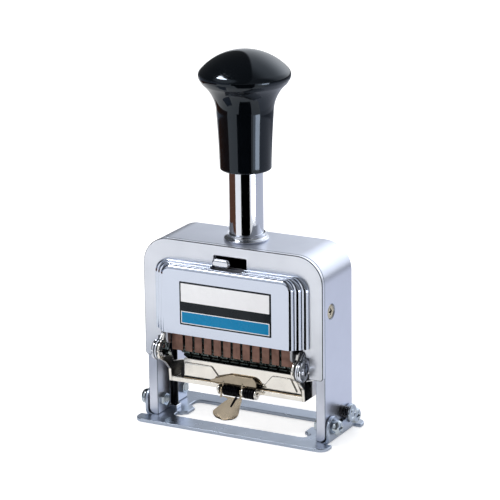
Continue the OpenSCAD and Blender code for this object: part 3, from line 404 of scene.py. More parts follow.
def circle(radius, count):
    """Points round the middle, or the middle alone where there is no radius."""
    return arc(0, 0, radius, 0, 360, count)[:-1] if radius > 1e-6 else [(0.0, 0.0)]


def net(rows, columns):
    """Faces of a net of points that lie row by row."""
    return [(j * columns + i, j * columns + i + 1, (j + 1) * columns + i + 1, (j + 1) * columns + i)
            for j in range(rows - 1) for i in range(columns - 1)]


def brim(rows, columns):
    """The points round the edge of such a net, in order."""
    last = (rows - 1) * columns
    return [*range(columns), *range(2 * columns - 1, last + columns, columns),
            *range(last + columns - 2, last - 1, -1), *range(last - columns, 0, -columns)]


def belt(one, two):
    """Faces between two closed rows of points. A row may be a single point."""
    count, faces = max(len(one), len(two)), []
    for i in range(count):
        k = (i + 1) % count
        corners = one[i % len(one)], one[k % len(one)], two[k % len(two)], two[i % len(two)]
        faces.append(tuple(dict.fromkeys(corners)))
    return [face for face in faces if len(face) > 2]


def turned(line, segments=64):
    """Turns a line of (radius, height) round +Z. Points on the axis become one point."""
    points, rows, faces = [], [], []
    for radius, height in line:
        start = len(points)
        points += [(x, y, height) for x, y in circle(radius, segments)]
        rows.append(range(start, len(points)))
    for low, high in zip(rows, rows[1:]):
        faces += belt(low, high)
    return points, faces


def linked(name, data):
    """A new object in the scene."""
    thing = bpy.data.objects.new(name, data)
    bpy.context.scene.collection.objects.link(thing)
    return thing


def form_of(curve):
    """The form that a curve or a text makes. The curve itself is deleted."""
    holder = linked(curve.name, curve)
    mesh = bpy.data.meshes.new_from_object(holder.evaluated_get(bpy.context.evaluated_depsgraph_get()))
    part = [tuple(v.co) for v in mesh.vertices], [tuple(p.vertices) for p in mesh.polygons]
    bpy.data.objects.remove(holder)
    bpy.data.curves.remove(curve)
    bpy.data.meshes.remove(mesh)
    return part


def plate(loops, thickness, edge=0.0, steps=2):
    """A flat plate from an outline and its holes, centred on its own plane, with rounded edges."""
    data = bpy.data.curves.new("outline", "CURVE")
    data.dimensions = "2D"
    data.fill_mode = "BOTH"
    data.extrude = thickness / 2 - edge
    data.bevel_depth = edge
    data.bevel_resolution = steps
    data.offset = -edge
    for loop in loops:
        spline = data.splines.new("POLY")
        spline.points.add(len(loop) - 1)
        for point, (x, y) in zip(spline.points, loop):
            point.co = (x, y, 0, 1)
        spline.use_cyclic_u = True
    return form_of(data)


def wire(path, radius, sides=12):
    """Round wire along a path, closed at both ends."""
    path = [Vector(p) for p in path]
    points, faces = [], []
    side = Vector((0, 0, 1)) if abs((path[1] - path[0]).normalized().z) < 0.9 else Vector((1, 0, 0))
    for i, p in enumerate(path):
        along = (path[min(i + 1, len(path) - 1)] - path[max(i - 1, 0)]).normalized()
        side = (side - along * side.dot(along)).normalized()
        over = along.cross(side)
        points += [tuple(p + side * x + over * y) for x, y in circle(radius, sides)]
    rows = [range(i * sides, (i + 1) * sides) for i in range(len(path))]
    for low, high in zip(rows, rows[1:]):
        faces += belt(low, high)
    return points, [*faces, tuple(reversed(rows[0])), tuple(rows[-1])]


def helix(radius, turns, start, end, steps=24, closed=0.8):
    """Points of a coil about +Z. Its first and last turns lie flat, as on a compression spring."""
    path = []
    for i in range(int(turns * steps) + 1):
        t = i / steps
        rise = min(max((t - closed) / max(turns - 2 * closed, 0.01), 0.0), 1.0)
        path.append((radius * math.cos(2 * math.pi * t), radius * math.sin(2 * math.pi * t),
                     start + (end - start) * rise))
    return path


def screw_head(radius, height, reach, width, depth, segments=56, rings=18):
    """Pan head on z = 0 with a cross recess in its top."""
    slope, flank = 0.3, 0.16
    rows, points, faces = [], [], []
    for i in range(rings + 1):
        r, start = radius * (i / rings) ** 0.85, len(points)
        crown = height * (0.3 + 0.7 * max(0.0, 1 - (r / radius) ** 5) ** 0.5)
        floor = depth * (1 - 0.45 * r / reach if r < reach else 0.5)
        for x, y in circle(r, segments):
            bars = [min(max((reach - abs(p)) / slope, 0), 1) * min(max((width - abs(q)) / flank, 0), 1)
                    for p, q in ((x, y), (y, x))]
            points.append((x, y, crown - floor * max(bars)))
        rows.append(range(start, len(points)))
    rows.append(range(len(points), len(points) + segments))
    points += [(x, y, 0.0) for x, y in circle(radius, segments)]
    for low, high in zip(rows, rows[1:]):
        faces += belt(low, high)
    return points, [*faces, tuple(rows[-1])]


def shaped(name, part, body, finishes, nodes=(), sharp=38.0, even=True, pick=None):
    """Makes a piece from a form and lets it ride on its body. Pick chooses a finish for each face by its middle."""
    mesh = bpy.data.meshes.new(name)
    mesh.from_pydata([Vector(p) * MM for p in part[0]], [], part[1])
    form = bmesh.new()
    form.from_mesh(mesh)
    bmesh.ops.remove_doubles(form, verts=form.verts, dist=0.002 * MM)
    bmesh.ops.recalc_face_normals(form, faces=form.faces)
    if pick:
        for face in form.faces:
            face.material_index = pick(face.calc_center_median() / MM)
    form.to_mesh(mesh)
    form.free()
    mesh.shade_smooth()
    mesh.set_sharp_from_angle(angle=math.radians(sharp))
    piece = linked(name, mesh)
    for make in finishes:
        mesh.materials.append(finish(make))
    if even:
        flat = piece.modifiers.new("Even shading", "WEIGHTED_NORMAL")
        flat.keep_sharp = True
        flat.weight = 80
    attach(piece, body)
    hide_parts(*nodes)
    return piece


def dressed(nodes, make, edge=0.0, rim=None):
    """Gives CAD nodes their finish, and rounds their edges without changing their meshes. Rim finishes the edges."""
    for node in nodes:
        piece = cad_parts[node]
        for holder in piece.material_slots:
            holder.material = finish(make)
        if not piece.material_slots:
            piece.data.materials.append(finish(make))
        if edge:
            weld = piece.modifiers.new("Close seams", "WELD")
            weld.merge_threshold = 0.001 * MM
            flat = piece.modifiers.new("Joined flats", "DECIMATE")
            flat.decimate_type = "DISSOLVE"
            flat.angle_limit = math.radians(0.5)
            bevel = piece.modifiers.new("Broken edges", "BEVEL")
            bevel.width = edge * MM
            bevel.segments = 2
            bevel.limit_method = "ANGLE"
            bevel.angle_limit = math.radians(32)
            bevel.use_clamp_overlap = False
            bevel.miter_outer = "MITER_ARC"
            if rim:
                piece.data.materials.append(finish(rim))
                bevel.material = len(piece.material_slots) - 1
            even = piece.modifiers.new("Even shading", "WEIGHTED_NORMAL")
            even.weight = 80


def corners_of(node):
    """The lowest and highest corners of a CAD node at rest."""
    return [Vector(corner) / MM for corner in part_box(node)]


# ---------------------------------------------------------------- pieces of the casing


class MACHINE_OT_casing(bpy.types.Operator):
    """Finishes the yoke, the panels and the works fixed inside them"""

    bl_idname = "machine.casing"
    bl_label = "Casing"

    def execute(self, context):
        edge = context.scene.machine_casing.edge / MM
        # The yoke's edges get the darker edge chrome: painted shade.
        dressed(["frame_yoke"], satin_chrome, edge, satin_edge)
        dressed(["rear_panel"], satin_chrome, edge)
        # The front panel is a lighter copy of the satin, painted light on the front face, and its edges get painted
        # shade: a dark line round its outline.
        dressed(["front_panel"], satin_panel, edge, seam_shade)
        dressed(["spring_bridge", "spring_seat"], plated_steel)
        dressed(["rod_feet"], bright_chrome, 0.25)
        dressed(["guide_rods"], rod_steel)
        return {"FINISHED"}


class MACHINE_OT_base(bpy.types.Operator):
    """Finishes the base plate with its bent ears and sighting tabs"""

    bl_idname = "machine.base"
    bl_label = "Base plate"

    def execute(self, context):
        dressed(["base_plate"], satin_base, context.scene.machine_casing.plate_edge / MM)
        dressed(["base_washers"], chromed_screw, 0.12)
        return {"FINISHED"}


class MACHINE_OT_cover(bpy.types.Operator):
    """Presses the stepped name cover from one sheet, with rounded steps and the catch's notch"""

    bl_idname = "machine.cover"
    bl_label = "Name cover"

    def execute(self, context):
        s = context.scene.machine_cover
        half, top, low, back, ledge = 35.1, 71.4, 41.3, -13.5, 0.5
        rise, tread, root = 5.9 / 3, 2.4, s.step_root / MM
        corner, closer = 6.3, 0.9
        treads = [back - rise * (k + 1) for k in range(3)]
        line = [(0.0, back)]
        for k, y in enumerate(treads):
            inset, edge = tread * k, (s.step_edge if k < 2 else s.face_edge) / MM
            line += arc(inset + edge, y + edge, edge, 180, 270, 9)
            if k < 2:
                line += arc(inset + tread - root, y - root, root, 90, 0, 3)
        points = []
        for inset, y in line:
            over = max(0.0, inset - 2 * tread)
            steps = (inset - over) / tread
            w, t, r = half - inset, top - ledge * steps - over, corner - closer * steps - over
            row = [(-w, low)] + arc(-w + r, t - r, r, 180, 90, 12) + arc(w - r, t - r, r, 90, 0, 12) + [(w, low)]
            points += [(x, y, z) for x, z in row]
        faces = [*net(len(line), len(row)), tuple(range(len(points) - len(row), len(points)))]

        # The roots of the two lower steps get painted shade: a dark line where each step rises from the one below.
        def dark_root(middle):
            return int(any(y - root < middle.y < y - 0.001 for y in treads[:2]))

        cover = shaped("stepped_cover", (points, faces), "casing", [pressed_chrome, seam_shade], ["name_cover"],
                       pick=dark_root)
        sheet = bmesh.new()
        sheet.from_mesh(cover.data)
        for place, way in (((s.notch_left, 0, 0), (1, 0, 0)), ((s.notch_right, 0, 0), (1, 0, 0)),
                           ((0, 0, s.notch_foot), (0, 0, 1))):
            bmesh.ops.bisect_plane(sheet, geom=sheet.verts[:] + sheet.edges[:] + sheet.faces[:], dist=1e-7,
                                   plane_co=place, plane_no=way)
        middles = {face: face.calc_center_median() for face in sheet.faces}
        inside = [face for face, middle in middles.items()
                  if s.notch_left < middle.x < s.notch_right and middle.z > s.notch_foot]
        bmesh.ops.delete(sheet, geom=inside, context="FACES")
        bmesh.ops.recalc_face_normals(sheet, faces=sheet.faces)
        if max(sheet.faces, key=lambda face: face.calc_area()).normal.y > 0:
            bmesh.ops.reverse_faces(sheet, faces=sheet.faces)
        sheet.to_mesh(cover.data)
        sheet.free()
        cover.data.set_sharp_from_angle(angle=math.radians(38))
        skin = cover.modifiers.new("Sheet", "SOLIDIFY")
        skin.thickness = 0.5 * MM
        skin.offset = -1
        cover.modifiers.move(1, 0)
        return {"FINISHED"}


class MACHINE_OT_label(bpy.types.Operator):
    """Lays the name plate: dark border, bare white field, dark band and blue band in a fine line"""

    bl_idname = "machine.label"
    bl_label = "Name plate"

    def execute(self, context):
        s = context.scene.machine_cover
        lo, hi = corners_of("name_plate")
        border, field, band, line = [v / MM for v in (s.border, s.white_field, s.dark_band, s.line)]
        blue_top, ground, r = hi.z - border - field - band, lo.y + 0.12, 0.12  # r rounds each layer's corners
        left, right, foot = lo.x + border, hi.x - border, lo.z + border
        for name, x0, z0, x1, z1, deep, high, make, nodes in (
                ("plate", lo.x, lo.z, hi.x, hi.z, -0.18, 0.04, dark_enamel, ["name_plate"]),
                ("white_field", left, blue_top + band, right, hi.z - border, 0.0, 0.09, white_enamel, []),
                ("fine_line", left, foot, right, blue_top, 0.0, 0.08, white_enamel, []),
                ("blue_band", left + line, foot + line, right - line, blue_top - line, 0.0, 0.12, blue_enamel, [])):
            outline = [point for x, z, start in ((x1 - r, z1 - r, 0), (x0 + r, z1 - r, 90), (x0 + r, z0 + r, 180),
                                                 (x1 - r, z0 + r, 270)) for point in arc(x, z, r, start, start + 90, 4)]
            layer = to_front(plate([outline], high - deep, 0.03, 1), ground - (high + deep) / 2)
            shaped(f"label_{name}", layer, "casing", [make], nodes, even=False)
        return {"FINISHED"}


class MACHINE_OT_catch(bpy.types.Operator):
    """Builds the catch's domed button and finishes the slide in its slot"""

    bl_idname = "machine.catch"
    bl_label = "Catch"

    def execute(self, context):
        lo, hi = corners_of("catch_button")
        half, z, thick, waist, behind = (hi.z - lo.z) / 2, (hi.z + lo.z) / 2, 1.9, 0.5, lo.y + 1.2
        rim, neck = [arc(hi.x - half, z, r, -90, 90, 14) + arc(lo.x + half, z, r, 90, 270, 14)
                     for r in (half, half - waist)]
        head = to_front(plate([rim], thick, 0.85, 4), lo.y + thick / 2)
        stem = to_front(plate([neck], hi.y - behind, 0.05, 1), (hi.y + behind) / 2)
        shaped("catch_button_domed", joined(head, stem), "catch", [bright_chrome], ["catch_button"])
        # The slide gets painted shade: nearly black, so that the slot beside the button reads as dark.
        dressed(["catch_slide"], slot_shade, 0.15)
        return {"FINISHED"}


class MACHINE_OT_screws(bpy.types.Operator):
    """Builds the cross-recess screws at the base and in the sides, and finishes the nuts"""

    bl_idname = "machine.screws"
    bl_label = "Screws"

    def execute(self, context):
        front, rear, side, low, high, thread = -7.3, 9.2, -5.6, 7.2, 55.6, 1.45

        def screws(name, finishes, places, head, seat, shank, tail, dark):
            """Screws in both sides. Dark gives the reach, width, and lowest and highest X of the recess's painted
            shade.
            """
            parts = []
            for y, z in places:
                parts.append(across_x(screw_head(*head), seat, y, z))
                parts.append(across_x(turned(shank, 32), tail, y, z))
            reach, width, start, end = dark

            # Faces deep in the cross recess get painted shade.
            def recess(middle):
                y = min((middle.y - c for c in (front, rear, side)), key=abs)
                z = min((middle.z - c for c in (low, high)), key=abs)
                near, far = sorted((abs(y), abs(z)))
                return int(start < abs(middle.x) < end and near < width and far < reach)

            shaped(f"{name}_cross", mirrored(joined(*parts)), "casing", finishes, [name], pick=recess)

        top, crown, tip = corners_of("base_screws")[1].x, 2.2, 35.0
        seat = top - crown
        long = seat - tip
        screws("base_screws", [chromed_screw, slot_shade], ((front, low), (rear, low)),
               head=(3.2, crown, 1.9, 0.5, 1.2), seat=seat, tail=tip, dark=(1.9, 0.62, 42.5, top - 0.75),
               shank=[(0, 0), (thread, 0), (thread, long - 0.3), (1.2, long), (0, long)])
        screws("side_screws", [brass, slot_shade], ((side, high),),
               head=(3.0, 0.75, 1.7, 0.45, 0.6), seat=40.05, tail=37.0, dark=(1.7, 0.55, 39.0, 40.62),
               shank=[(0, 0), (thread, 0), (thread, 3.1), (0, 3.1)])
        dressed(["base_nuts"], chromed_screw, 0.15)
        return {"FINISHED"}


class MACHINE_OT_collar(bpy.types.Operator):
    """Turns the collar that guides the plunger tube"""

    bl_idname = "machine.collar"
    bl_label = "Collar"

    def execute(self, context):
        bore, foot = 7.06, 75.3
        line = [(bore, foot), (8.05, foot), (8.1, 79.5), (8.6, 79.52)]
        line += arc(8.7, 80.2, 0.5, -90, 0, 5, 0.48) + arc(8.85, 80.25, 0.35, 15, 90, 5, 0.3)
        line += [(8.4, 80.6), (8.0, 80.78), (7.75, 81.1), (7.7, 81.6)] + arc(7.95, 82.0, 0.25, 210, 90, 6, 0.4)
        line += [(7.5, 82.4), (7.2, 82.3), (bore, 82.1), (bore, foot)]
        shaped("collar_turned", turned(line, context.scene.machine_handle.segments), "casing", [bright_chrome],
               ["top_collar"])
        return {"FINISHED"}


class MACHINE_OT_hold_down(bpy.types.Operator):
    """Turns the sprung hold-down pin and winds its spring"""

    bl_idname = "machine.hold_down"
    bl_label = "Hold-down pin"

    def execute(self, context):
        lo, hi = corners_of("hold_pin")
        y, z, end, r = 3.0, 10.7, hi.x, (hi.z - lo.z) / 2
        line = [(0, lo.x), (0.9, lo.x), (1.1, lo.x + 0.2), (1.1, end - 1.9), (1.4, end - 1.9), (1.5, end - 1.05),
                (r - 0.25, end - 1.0), (r, end - 0.75), (r, end - 0.45), (r - 0.12, end - 0.2), (r - 0.5, end - 0.05),
                (r - 1.1, end - 0.04), (r - 1.4, end - 0.3), (1.4, end - 0.32), (1.1, end - 0.05), (0, end - 0.02)]
        shaped("hold_pin_turned", across_x(turned(line), 0, y, z), "hold_down", [chromed_screw], ["hold_pin"])
        coil = wire(helix(2.0, 4.6, 41.45, 45.15, 20), 0.4, 10)
        spring = shaped("hold_spring_coil", across_x(coil, 0, y, z), "casing", [spring_steel], ["hold_spring"],
                        even=False)
        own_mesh(spring)
        return {"FINISHED"}


# ---------------------------------------------------------------- pieces of the plunger


class MACHINE_OT_knob(bpy.types.Operator):
    """Moulds the knob: straight foot, slender neck, flare and domed head"""

    bl_idname = "machine.knob"
    bl_label = "Knob"

    def execute(self, context):
        foot, neck, head, edge, sweep, flare, lip = 10.55, 11.6, 18.72, 3.2, 50.0, 16.0, 0.8
        low, seat, widest, dome, socket = 109.0, 128.0, 147.8, 10.2, 7.0
        waist = widest - edge - flare * math.sin(math.radians(sweep))
        half_edge = edge * math.sin(math.radians(45))
        base, cap = head - edge + half_edge, dome - half_edge
        radius = (base * base + cap * cap) / (2 * cap)
        reach = math.degrees(math.asin(base / radius))
        line = [(0, seat), (socket, seat), (socket, low + 0.5), (socket + 0.5, low)]
        line += arc(foot - lip, low + lip, lip, -90, 0, 6)
        for t in (i / 12 for i in range(1, 13)):
            line.append((foot + 0.2 * t + (neck - foot - 0.2) * t ** 1.7, low + lip + (waist - low - lip) * t))
        line += arc(neck + flare, waist, flare, 177.5, 180 - sweep, 19)
        line += arc(head - edge, widest, edge, -40, 45, 17)
        line += arc(0, widest + dome - radius, radius, 90 - reach * 23 / 24, 90 - reach / 24, 22)
        line.append((0, widest + dome))
        shaped("knob_moulded", turned(line, context.scene.machine_handle.segments), "plunger", [black_plastic],
               ["handle_knob"], sharp=60.0, even=False)
        return {"FINISHED"}


class MACHINE_OT_plunger(bpy.types.Operator):
    """Finishes the plunger tube and the carriage, and winds the return spring"""

    bl_idname = "machine.plunger"
    bl_label = "Plunger and carriage"

    def execute(self, context):
        dressed(["plunger_tube"], bright_chrome)
        dressed(["knob_stud", "plunger_foot", "carriage_top", "carriage_side_left", "carriage_side_right",
                 "guide_shoes", "wheel_shaft", "shaft_clips", "comb_screws", "drive_pins"], plated_steel, 0.12)
        lo, hi = corners_of("return_spring")
        reach, half, stroke = (hi.x - lo.x) / 2, 0.56, 24
        coil = wire(helix(reach - half, 15.5, lo.z + half, hi.z - half, 24, 1.0), 0.55, 10)
        spring = shaped("return_spring_coil", coil, "casing", [spring_steel], ["return_spring"],
                        even=False)
        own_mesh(spring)
        return {"FINISHED"}


class MACHINE_OT_comb(bpy.types.Operator):
    """Finishes the brown detent comb"""

    bl_idname = "machine.comb"
    bl_label = "Detent comb"

    def execute(self, context):
        # Its broken edges get painted shade: dark lines that make the gaps between the fingers look wider.
        dressed(["detent_comb"], tempered_comb, 0.12, slot_shade)
        return {"FINISHED"}


class MACHINE_OT_wheels(bpy.types.Operator):
    """Builds the number wheels, each with ten raised mirror-image figures"""

    bl_idname = "machine.wheels"
    bl_label = "Number wheels"

    def execute(self, context):
        s = context.scene.machine_works
        pitch, face, body, shaft, relief = 4.45, 10.6, 9.3, 35.0, s.relief / MM
        ground, sunk, font_size, overlap = face - relief, 1.0, s.figure / MM * 1.38, 0.03
        rim = [(2.56, 2.0), (4.2, 2.0), (4.3, 1.7), (7.6, 1.7), (7.75, 2.0), (body - 0.4, 2.0), (body, 1.6)]
        disc = across_x(turned([(r, -x) for r, x in rim] + rim[::-1] + [(rim[0][0], -rim[0][1])], 60))
        block = plate([[(-1.7, -2.35), (1.7, -2.35), (1.7, 2.35), (-1.7, 2.35)]], ground - body + sunk, 0.12, 1)
        blocks = []
        for f in range(10):
            data = bpy.data.curves.new("figure", "FONT")
            data.body = str(f)
            data.size = font_size
            data.align_x, data.align_y = "CENTER", "CENTER"
            data.extrude, data.bevel_depth, data.bevel_resolution = relief / 2 - 0.02, 0.05, 0
            data.offset = -0.02
            data.resolution_u = 3
            a = math.radians(36 * f - 90)
            out, along = Vector((0, math.cos(a), math.sin(a))), (0, -math.sin(a), math.cos(a))
            blocks.append(placed(form_of(data), out * (face - relief / 2 - overlap), (-0.8, 0, 0), along, out))
            blocks.append(placed(block, out * (body - sunk + ground) / 2, (1, 0, 0), along, out))
        wheel = joined(disc, *blocks)

        # Faces at the edges of each wheel get the painted highlight.
        def crest(middle):
            across = (middle.x / pitch) % 1 - 0.5
            return int(abs(across) * pitch > 1.55 and math.hypot(middle.y, middle.z - shaft) > body - 0.5)

        for k in range(12):
            name = f"wheel_{k + 1:02d}"
            part = placed(wheel, ((k - 5.5) * pitch, 0, shaft), (1, 0, 0), (0, 1, 0), (0, 0, 1))
            shaped(f"figure_{name}", part, name, [wheel_steel, worn_crest], [f"number_{name}"],
                   even=False, pick=crest)
        return {"FINISHED"}


class MACHINE_OT_pawls(bpy.types.Operator):
    """Finishes the feed pawls with their rod and arms"""

    bl_idname = "machine.pawls"
    bl_label = "Feed pawls"

    def execute(self, context):
        dressed(["pawl_arms", "pawl_rod", "feed_pawls"], plated_steel, 0.1)
        return {"FINISHED"}


# ---------------------------------------------------------------- pieces of the pad carrier


class MACHINE_OT_pad_carrier(bpy.types.Operator):
    """Finishes the tray and builds the front plate with its two soft-edged raised panels"""

    bl_idname = "machine.pad_carrier"
    bl_label = "Pad carrier"

    def execute(self, context):
        dressed(["pad_tray"], nickel, 0.2)
        low, top, half, foot, left = 18.0, 27.7, 25.4, 29.7, 25.1
        sheet_y, panel_y, line_y, line_top, lip_top = -9.35, -9.75, -9.85, 19.99, 19.41
        outline = [(-left, low), (foot, low), (foot - 0.3, low + 2.8), (half + 1.5, top - 1.2), (half + 1.0, top - 0.4),
                   (half, top), (0.6 - left, top), (0.2 - left, top - 0.15), (-left, top - 0.6)]
        parts = [to_front(plate([outline], 0.8, 0.3, 3), sheet_y)]
        for inner, slant, side, end, rim in ((16.0, 4.5, 1, foot - 2.0, half - 0.2),
                                             (-11.4, -4.5, -1, left - 0.3, left - 0.3)):
            raised = [(side * (end - 0.4), low + 2.1), (side * end, low + 2.9), (side * rim, top - 2.2),
                      (side * (rim - 0.6), top - 1.6), (inner + side * 0.6, top - 1.6), (inner, top - 2.0),
                      (inner - slant, low + 2.3), (inner - slant + side * 0.5, low + 2.1)]
            parts.append(to_front(plate([raised], 1.0, 0.45, 3), panel_y))
        # Two thin strips along the plate's foot: a tan painted reflection next to the tray's lip, and above it a
        # near-black painted shadow of the gap.
        for start, end in ((19.1, 19.4), (19.42, 19.95)):
            strip = [(-left, start), (foot - 0.2, start), (foot - 0.25, end), (-left, end)]
            parts.append(to_front(plate([strip], 0.25, 0.02, 1), line_y))

        def ink_line(middle):
            if middle.y > panel_y - 0.01 or middle.z > line_top:
                return 0
            return 2 if middle.z < lip_top else 1

        shaped("pad_front_pressed", joined(*parts), "pad_carrier", [nickel, slot_shade, warm_nickel], ["pad_front"],
               pick=ink_line)
        return {"FINISHED"}


class MACHINE_OT_ink_pad(bpy.types.Operator):
    """Makes the crowned ink pad of woven cotton over felt"""

    bl_idname = "machine.ink_pad"
    bl_label = "Ink pad"

    def execute(self, context):
        lo, hi = corners_of("ink_pad")
        middle, size = (lo + hi) / 2, hi - lo
        crown, rows, columns = context.scene.machine_pad.crown / MM, 21, 57
        points = []
        for j in range(rows):
            v = math.sin(math.pi / 2 * (2 * j / (rows - 1) - 1))
            for i in range(columns):
                u = math.sin(math.pi / 2 * (2 * i / (columns - 1) - 1))
                fall = min(crown * (abs(u) ** 14 + abs(v) ** 6), 1.5)
                ripple = 0.05 * math.sin(u * 21) * math.cos(v * 9)
                points.append((middle.x + u * (size.x - 0.4) / 2, middle.y + v * (size.y - 0.3) / 2,
                               hi.z - 0.08 - fall + ripple))
        faces, edge = net(rows, columns), brim(rows, columns)
        above = edge
        for height, out in ((lo.z + 2.2, 0.12), (lo.z, -0.1)):
            below = range(len(points), len(points) + len(edge))
            for x, y, _ in [points[n] for n in edge]:
                points.append((x + math.copysign(out, x) * (abs(x) > hi.x - 1), y, height))
            faces += belt(above, below)
            above = below
        faces.append(tuple(reversed(below)))
        pad = shaped("ink_pad_cloth", (points, faces), "pad_carrier", [inked_cloth], ["ink_pad"],
                     sharp=80.0, even=False)
        return {"FINISHED"}


class MACHINE_OT_pivots(bpy.types.Operator):
    """Turns the dished caps on the pad carrier's two pivots"""

    bl_idname = "machine.pivots"
    bl_label = "Pivot pins"

    def execute(self, context):
        line = [(0, 29.7), (2.9, 29.7), (2.9, 30.1), (1.75, 30.1), (1.75, 33.0), (4.2, 33.0), (4.44, 33.15),
                (4.48, 33.5), (4.44, 33.9), (4.25, 34.2), (3.95, 34.32), (3.7, 34.22), (3.5, 33.95), (3.2, 33.85),
                (1.6, 33.85), (1.45, 34.1), (1.2, 34.3), (0, 34.38)]
        y, z = -16.65, 32.5
        shaped("pivot_pins_capped", mirrored(across_x(turned(line, 56), 0, y, z)), "casing", [bright_chrome],
               ["pivot_pins"])
        return {"FINISHED"}


class MACHINE_OT_release(bpy.types.Operator):
    """Builds the pad's release: worn lever, black torsion spring with its leg, grooved bush and pin"""

    bl_idname = "machine.release"
    bl_label = "Pad release"

    def lever(self):
        """The lever about its pin: tongue above, eyes at both sides, and the thumb's fan below."""
        clear, sheet, side, shoulder = 2.6, 0.9, 4.1, 3.3
        upper = [(-10.6, clear), (-10.0, clear + 0.8), (-3.7, 5.7), (-2.6, 6.15), (-1.1, 6.3)]
        upper += arc(10.8 - shoulder, 6.3 - shoulder, shoulder, 90, 0, 8) + [(10.8, clear)]
        lower = [(-side - 0.6, -clear), (-0.6, -clear - sheet - 0.2), (5.2, -clear - sheet - 0.2),
                 (side + 1.1, -clear)]
        parts = [to_front(plate([upper], sheet, 0.25)), to_front(plate([lower], sheet, 0.2))]
        eye = [(0.45, -3.5), (0.45, -1.42), *arc(0, 0, 1.5, -72, 72, 8), (0.45, 3.5), (-0.45, 3.5), (-0.45, 1.42),
               *arc(0, 0, 1.5, 108, 252, 8), (-0.45, -3.5)]
        for way in (-1, 1):
            parts.append(across_x(plate([eye, arc(0, 0, 0.92, 0, 345, 23)], 0.63, 0.1, 1), way * (side + 0.32)))

        drop, widens, neck, rows, columns = 9.2, 6.0, (-0.6, 5.2), 15, 11
        points, deep, far, fall = [], 0.0, -clear - sheet, drop / (rows - 1)
        for j in range(rows):
            down = fall * j
            grown = min(down / widens, 1.0)
            start, stop = neck[0] - 5.6 * grown ** 0.9, neck[1] + 0.2 * grown
            if down > 5.6:
                fan = max(max(0.0, 1 - ((down - 5.6) / 3.6) ** 2.2) ** 0.5, 0.1)
                start, stop = neck[0] + (start - neck[0]) * fan, neck[0] + (stop - neck[0]) * fan
            for u in (2 * i / (columns - 1) - 1 for i in range(columns)):
                points.append(((start + stop) / 2 + u * (stop - start) / 2,
                               deep - 0.5 * u * u * min(down / 4, 1) - sheet / 2, far))
            lean = math.radians(4 + 7 * down / drop)
            deep, far = deep - fall * math.sin(lean), far - fall * math.cos(lean)
        front, edge, count = net(rows, columns), brim(rows, columns), len(points)
        points += [(x, y + sheet * 0.9, z) for x, y, z in points]
        behind = [tuple(i + count for i in face) for face in front]
        parts.append((points, front + behind + belt(edge, [i + count for i in edge])))
        return joined(*parts)

    def execute(self, context):
        dressed(["clip_pin"], nickel, 0.2)
        y, z, tilt, gauge = -13.3, 18.1, math.radians(25), 0.4
        lever = placed(self.lever(), (-0.7, y, z), (1, 0, 0), (0, math.cos(tilt), -math.sin(tilt)),
                       (0, math.sin(tilt), math.cos(tilt)))
        piece = shaped("release_lever_pressed", lever, "pad_release", [warm_nickel], ["release_lever"])
        soft = piece.modifiers.new("Broken edges", "BEVEL")
        soft.width, soft.segments, soft.limit_method, soft.angle_limit = 0.15 * MM, 2, "ANGLE", math.radians(50)
        piece.modifiers.move(1, 0)
        coil = wire(helix(1.9, 9.0, -4.1, 2.7, 24, 0.0), gauge)
        shaped("clip_spring_coil", across_x(coil, 0, y, z), "pad_carrier", [black_wire], ["clip_spring"],
               even=False)
        leg = [(2.6, y - 1.9, z - 0.2), (2.5, y - 1.95, z - 1.2), (2.1, y - 2.0, z - 2.2), (1.6, y - 2.15, z - 3.0),
               (1.2, y - 2.6, z - 4.0), (0.8, y - 3.1, z - 5.1), (0.5, y - 3.45, z - 5.8)]
        shaped("clip_spring_leg", wire(leg, gauge), "pad_release", [black_wire], (), even=False)
        lo, hi = corners_of("clip_bush")
        bore, groove = 0.85, 1.15
        line = [(bore, lo.x), (2.0, lo.x)]
        for start in (lo.x + groove * i for i in range(4)):
            end = start + groove
            line += [(2.15, start + 0.12), (2.3, start + 0.3), (2.3, end - 0.3), (2.15, end - 0.12), (1.95, end)]
        line += [(bore, hi.x), (bore, lo.x)]
        shaped("clip_bush_grooved", across_x(turned(line, 48), 0, y, z), "pad_carrier", [black_wire], ["clip_bush"])
        return {"FINISHED"}


# ---------------------------------------------------------------- stage


def flat_mesh(name, corners):
    """A mesh of one face."""
    mesh = bpy.data.meshes.new(name)
    mesh.from_pydata(corners, [], [tuple(range(len(corners)))])
    return mesh


def card(name, corners, tone, level, fades=None):
    """A studio card that only reflections see: it throws no light and no shadow. Fades gives the length at
    which its light begins to fade, and the level that is left 12 mm on."""
    board = linked(name, flat_mesh(name, corners))
    material, tree, _ = blank(name)
    if fades:
        way = add(tree, "LightPath", out="Ray Length")
        level = add(tree, "MapRange", {"Value": way, "From Min": fades[0], "From Max": fades[0] + 0.012,
                                       "To Min": level, "To Max": fades[1]})
    add(tree, "OutputMaterial", {"Surface": add(tree, "Emission", {"Color": paint(srgb(tone)), "Strength": level})})
    board.data.materials.append(material)
    board.visible_camera = board.visible_diffuse = board.visible_shadow = False
    board.visible_volume_scatter = False


def sector(near, far, start, end, height):
    """Corners of a part of a flat ring, with its angles in degrees from the front."""
    turn = [math.radians(start + (end - start) * i / 12) for i in range(13)]
    return [(radius * math.sin(a), -radius * math.cos(a), height)
            for radius, way in ((near, turn), (far, turn[::-1])) for a in way]


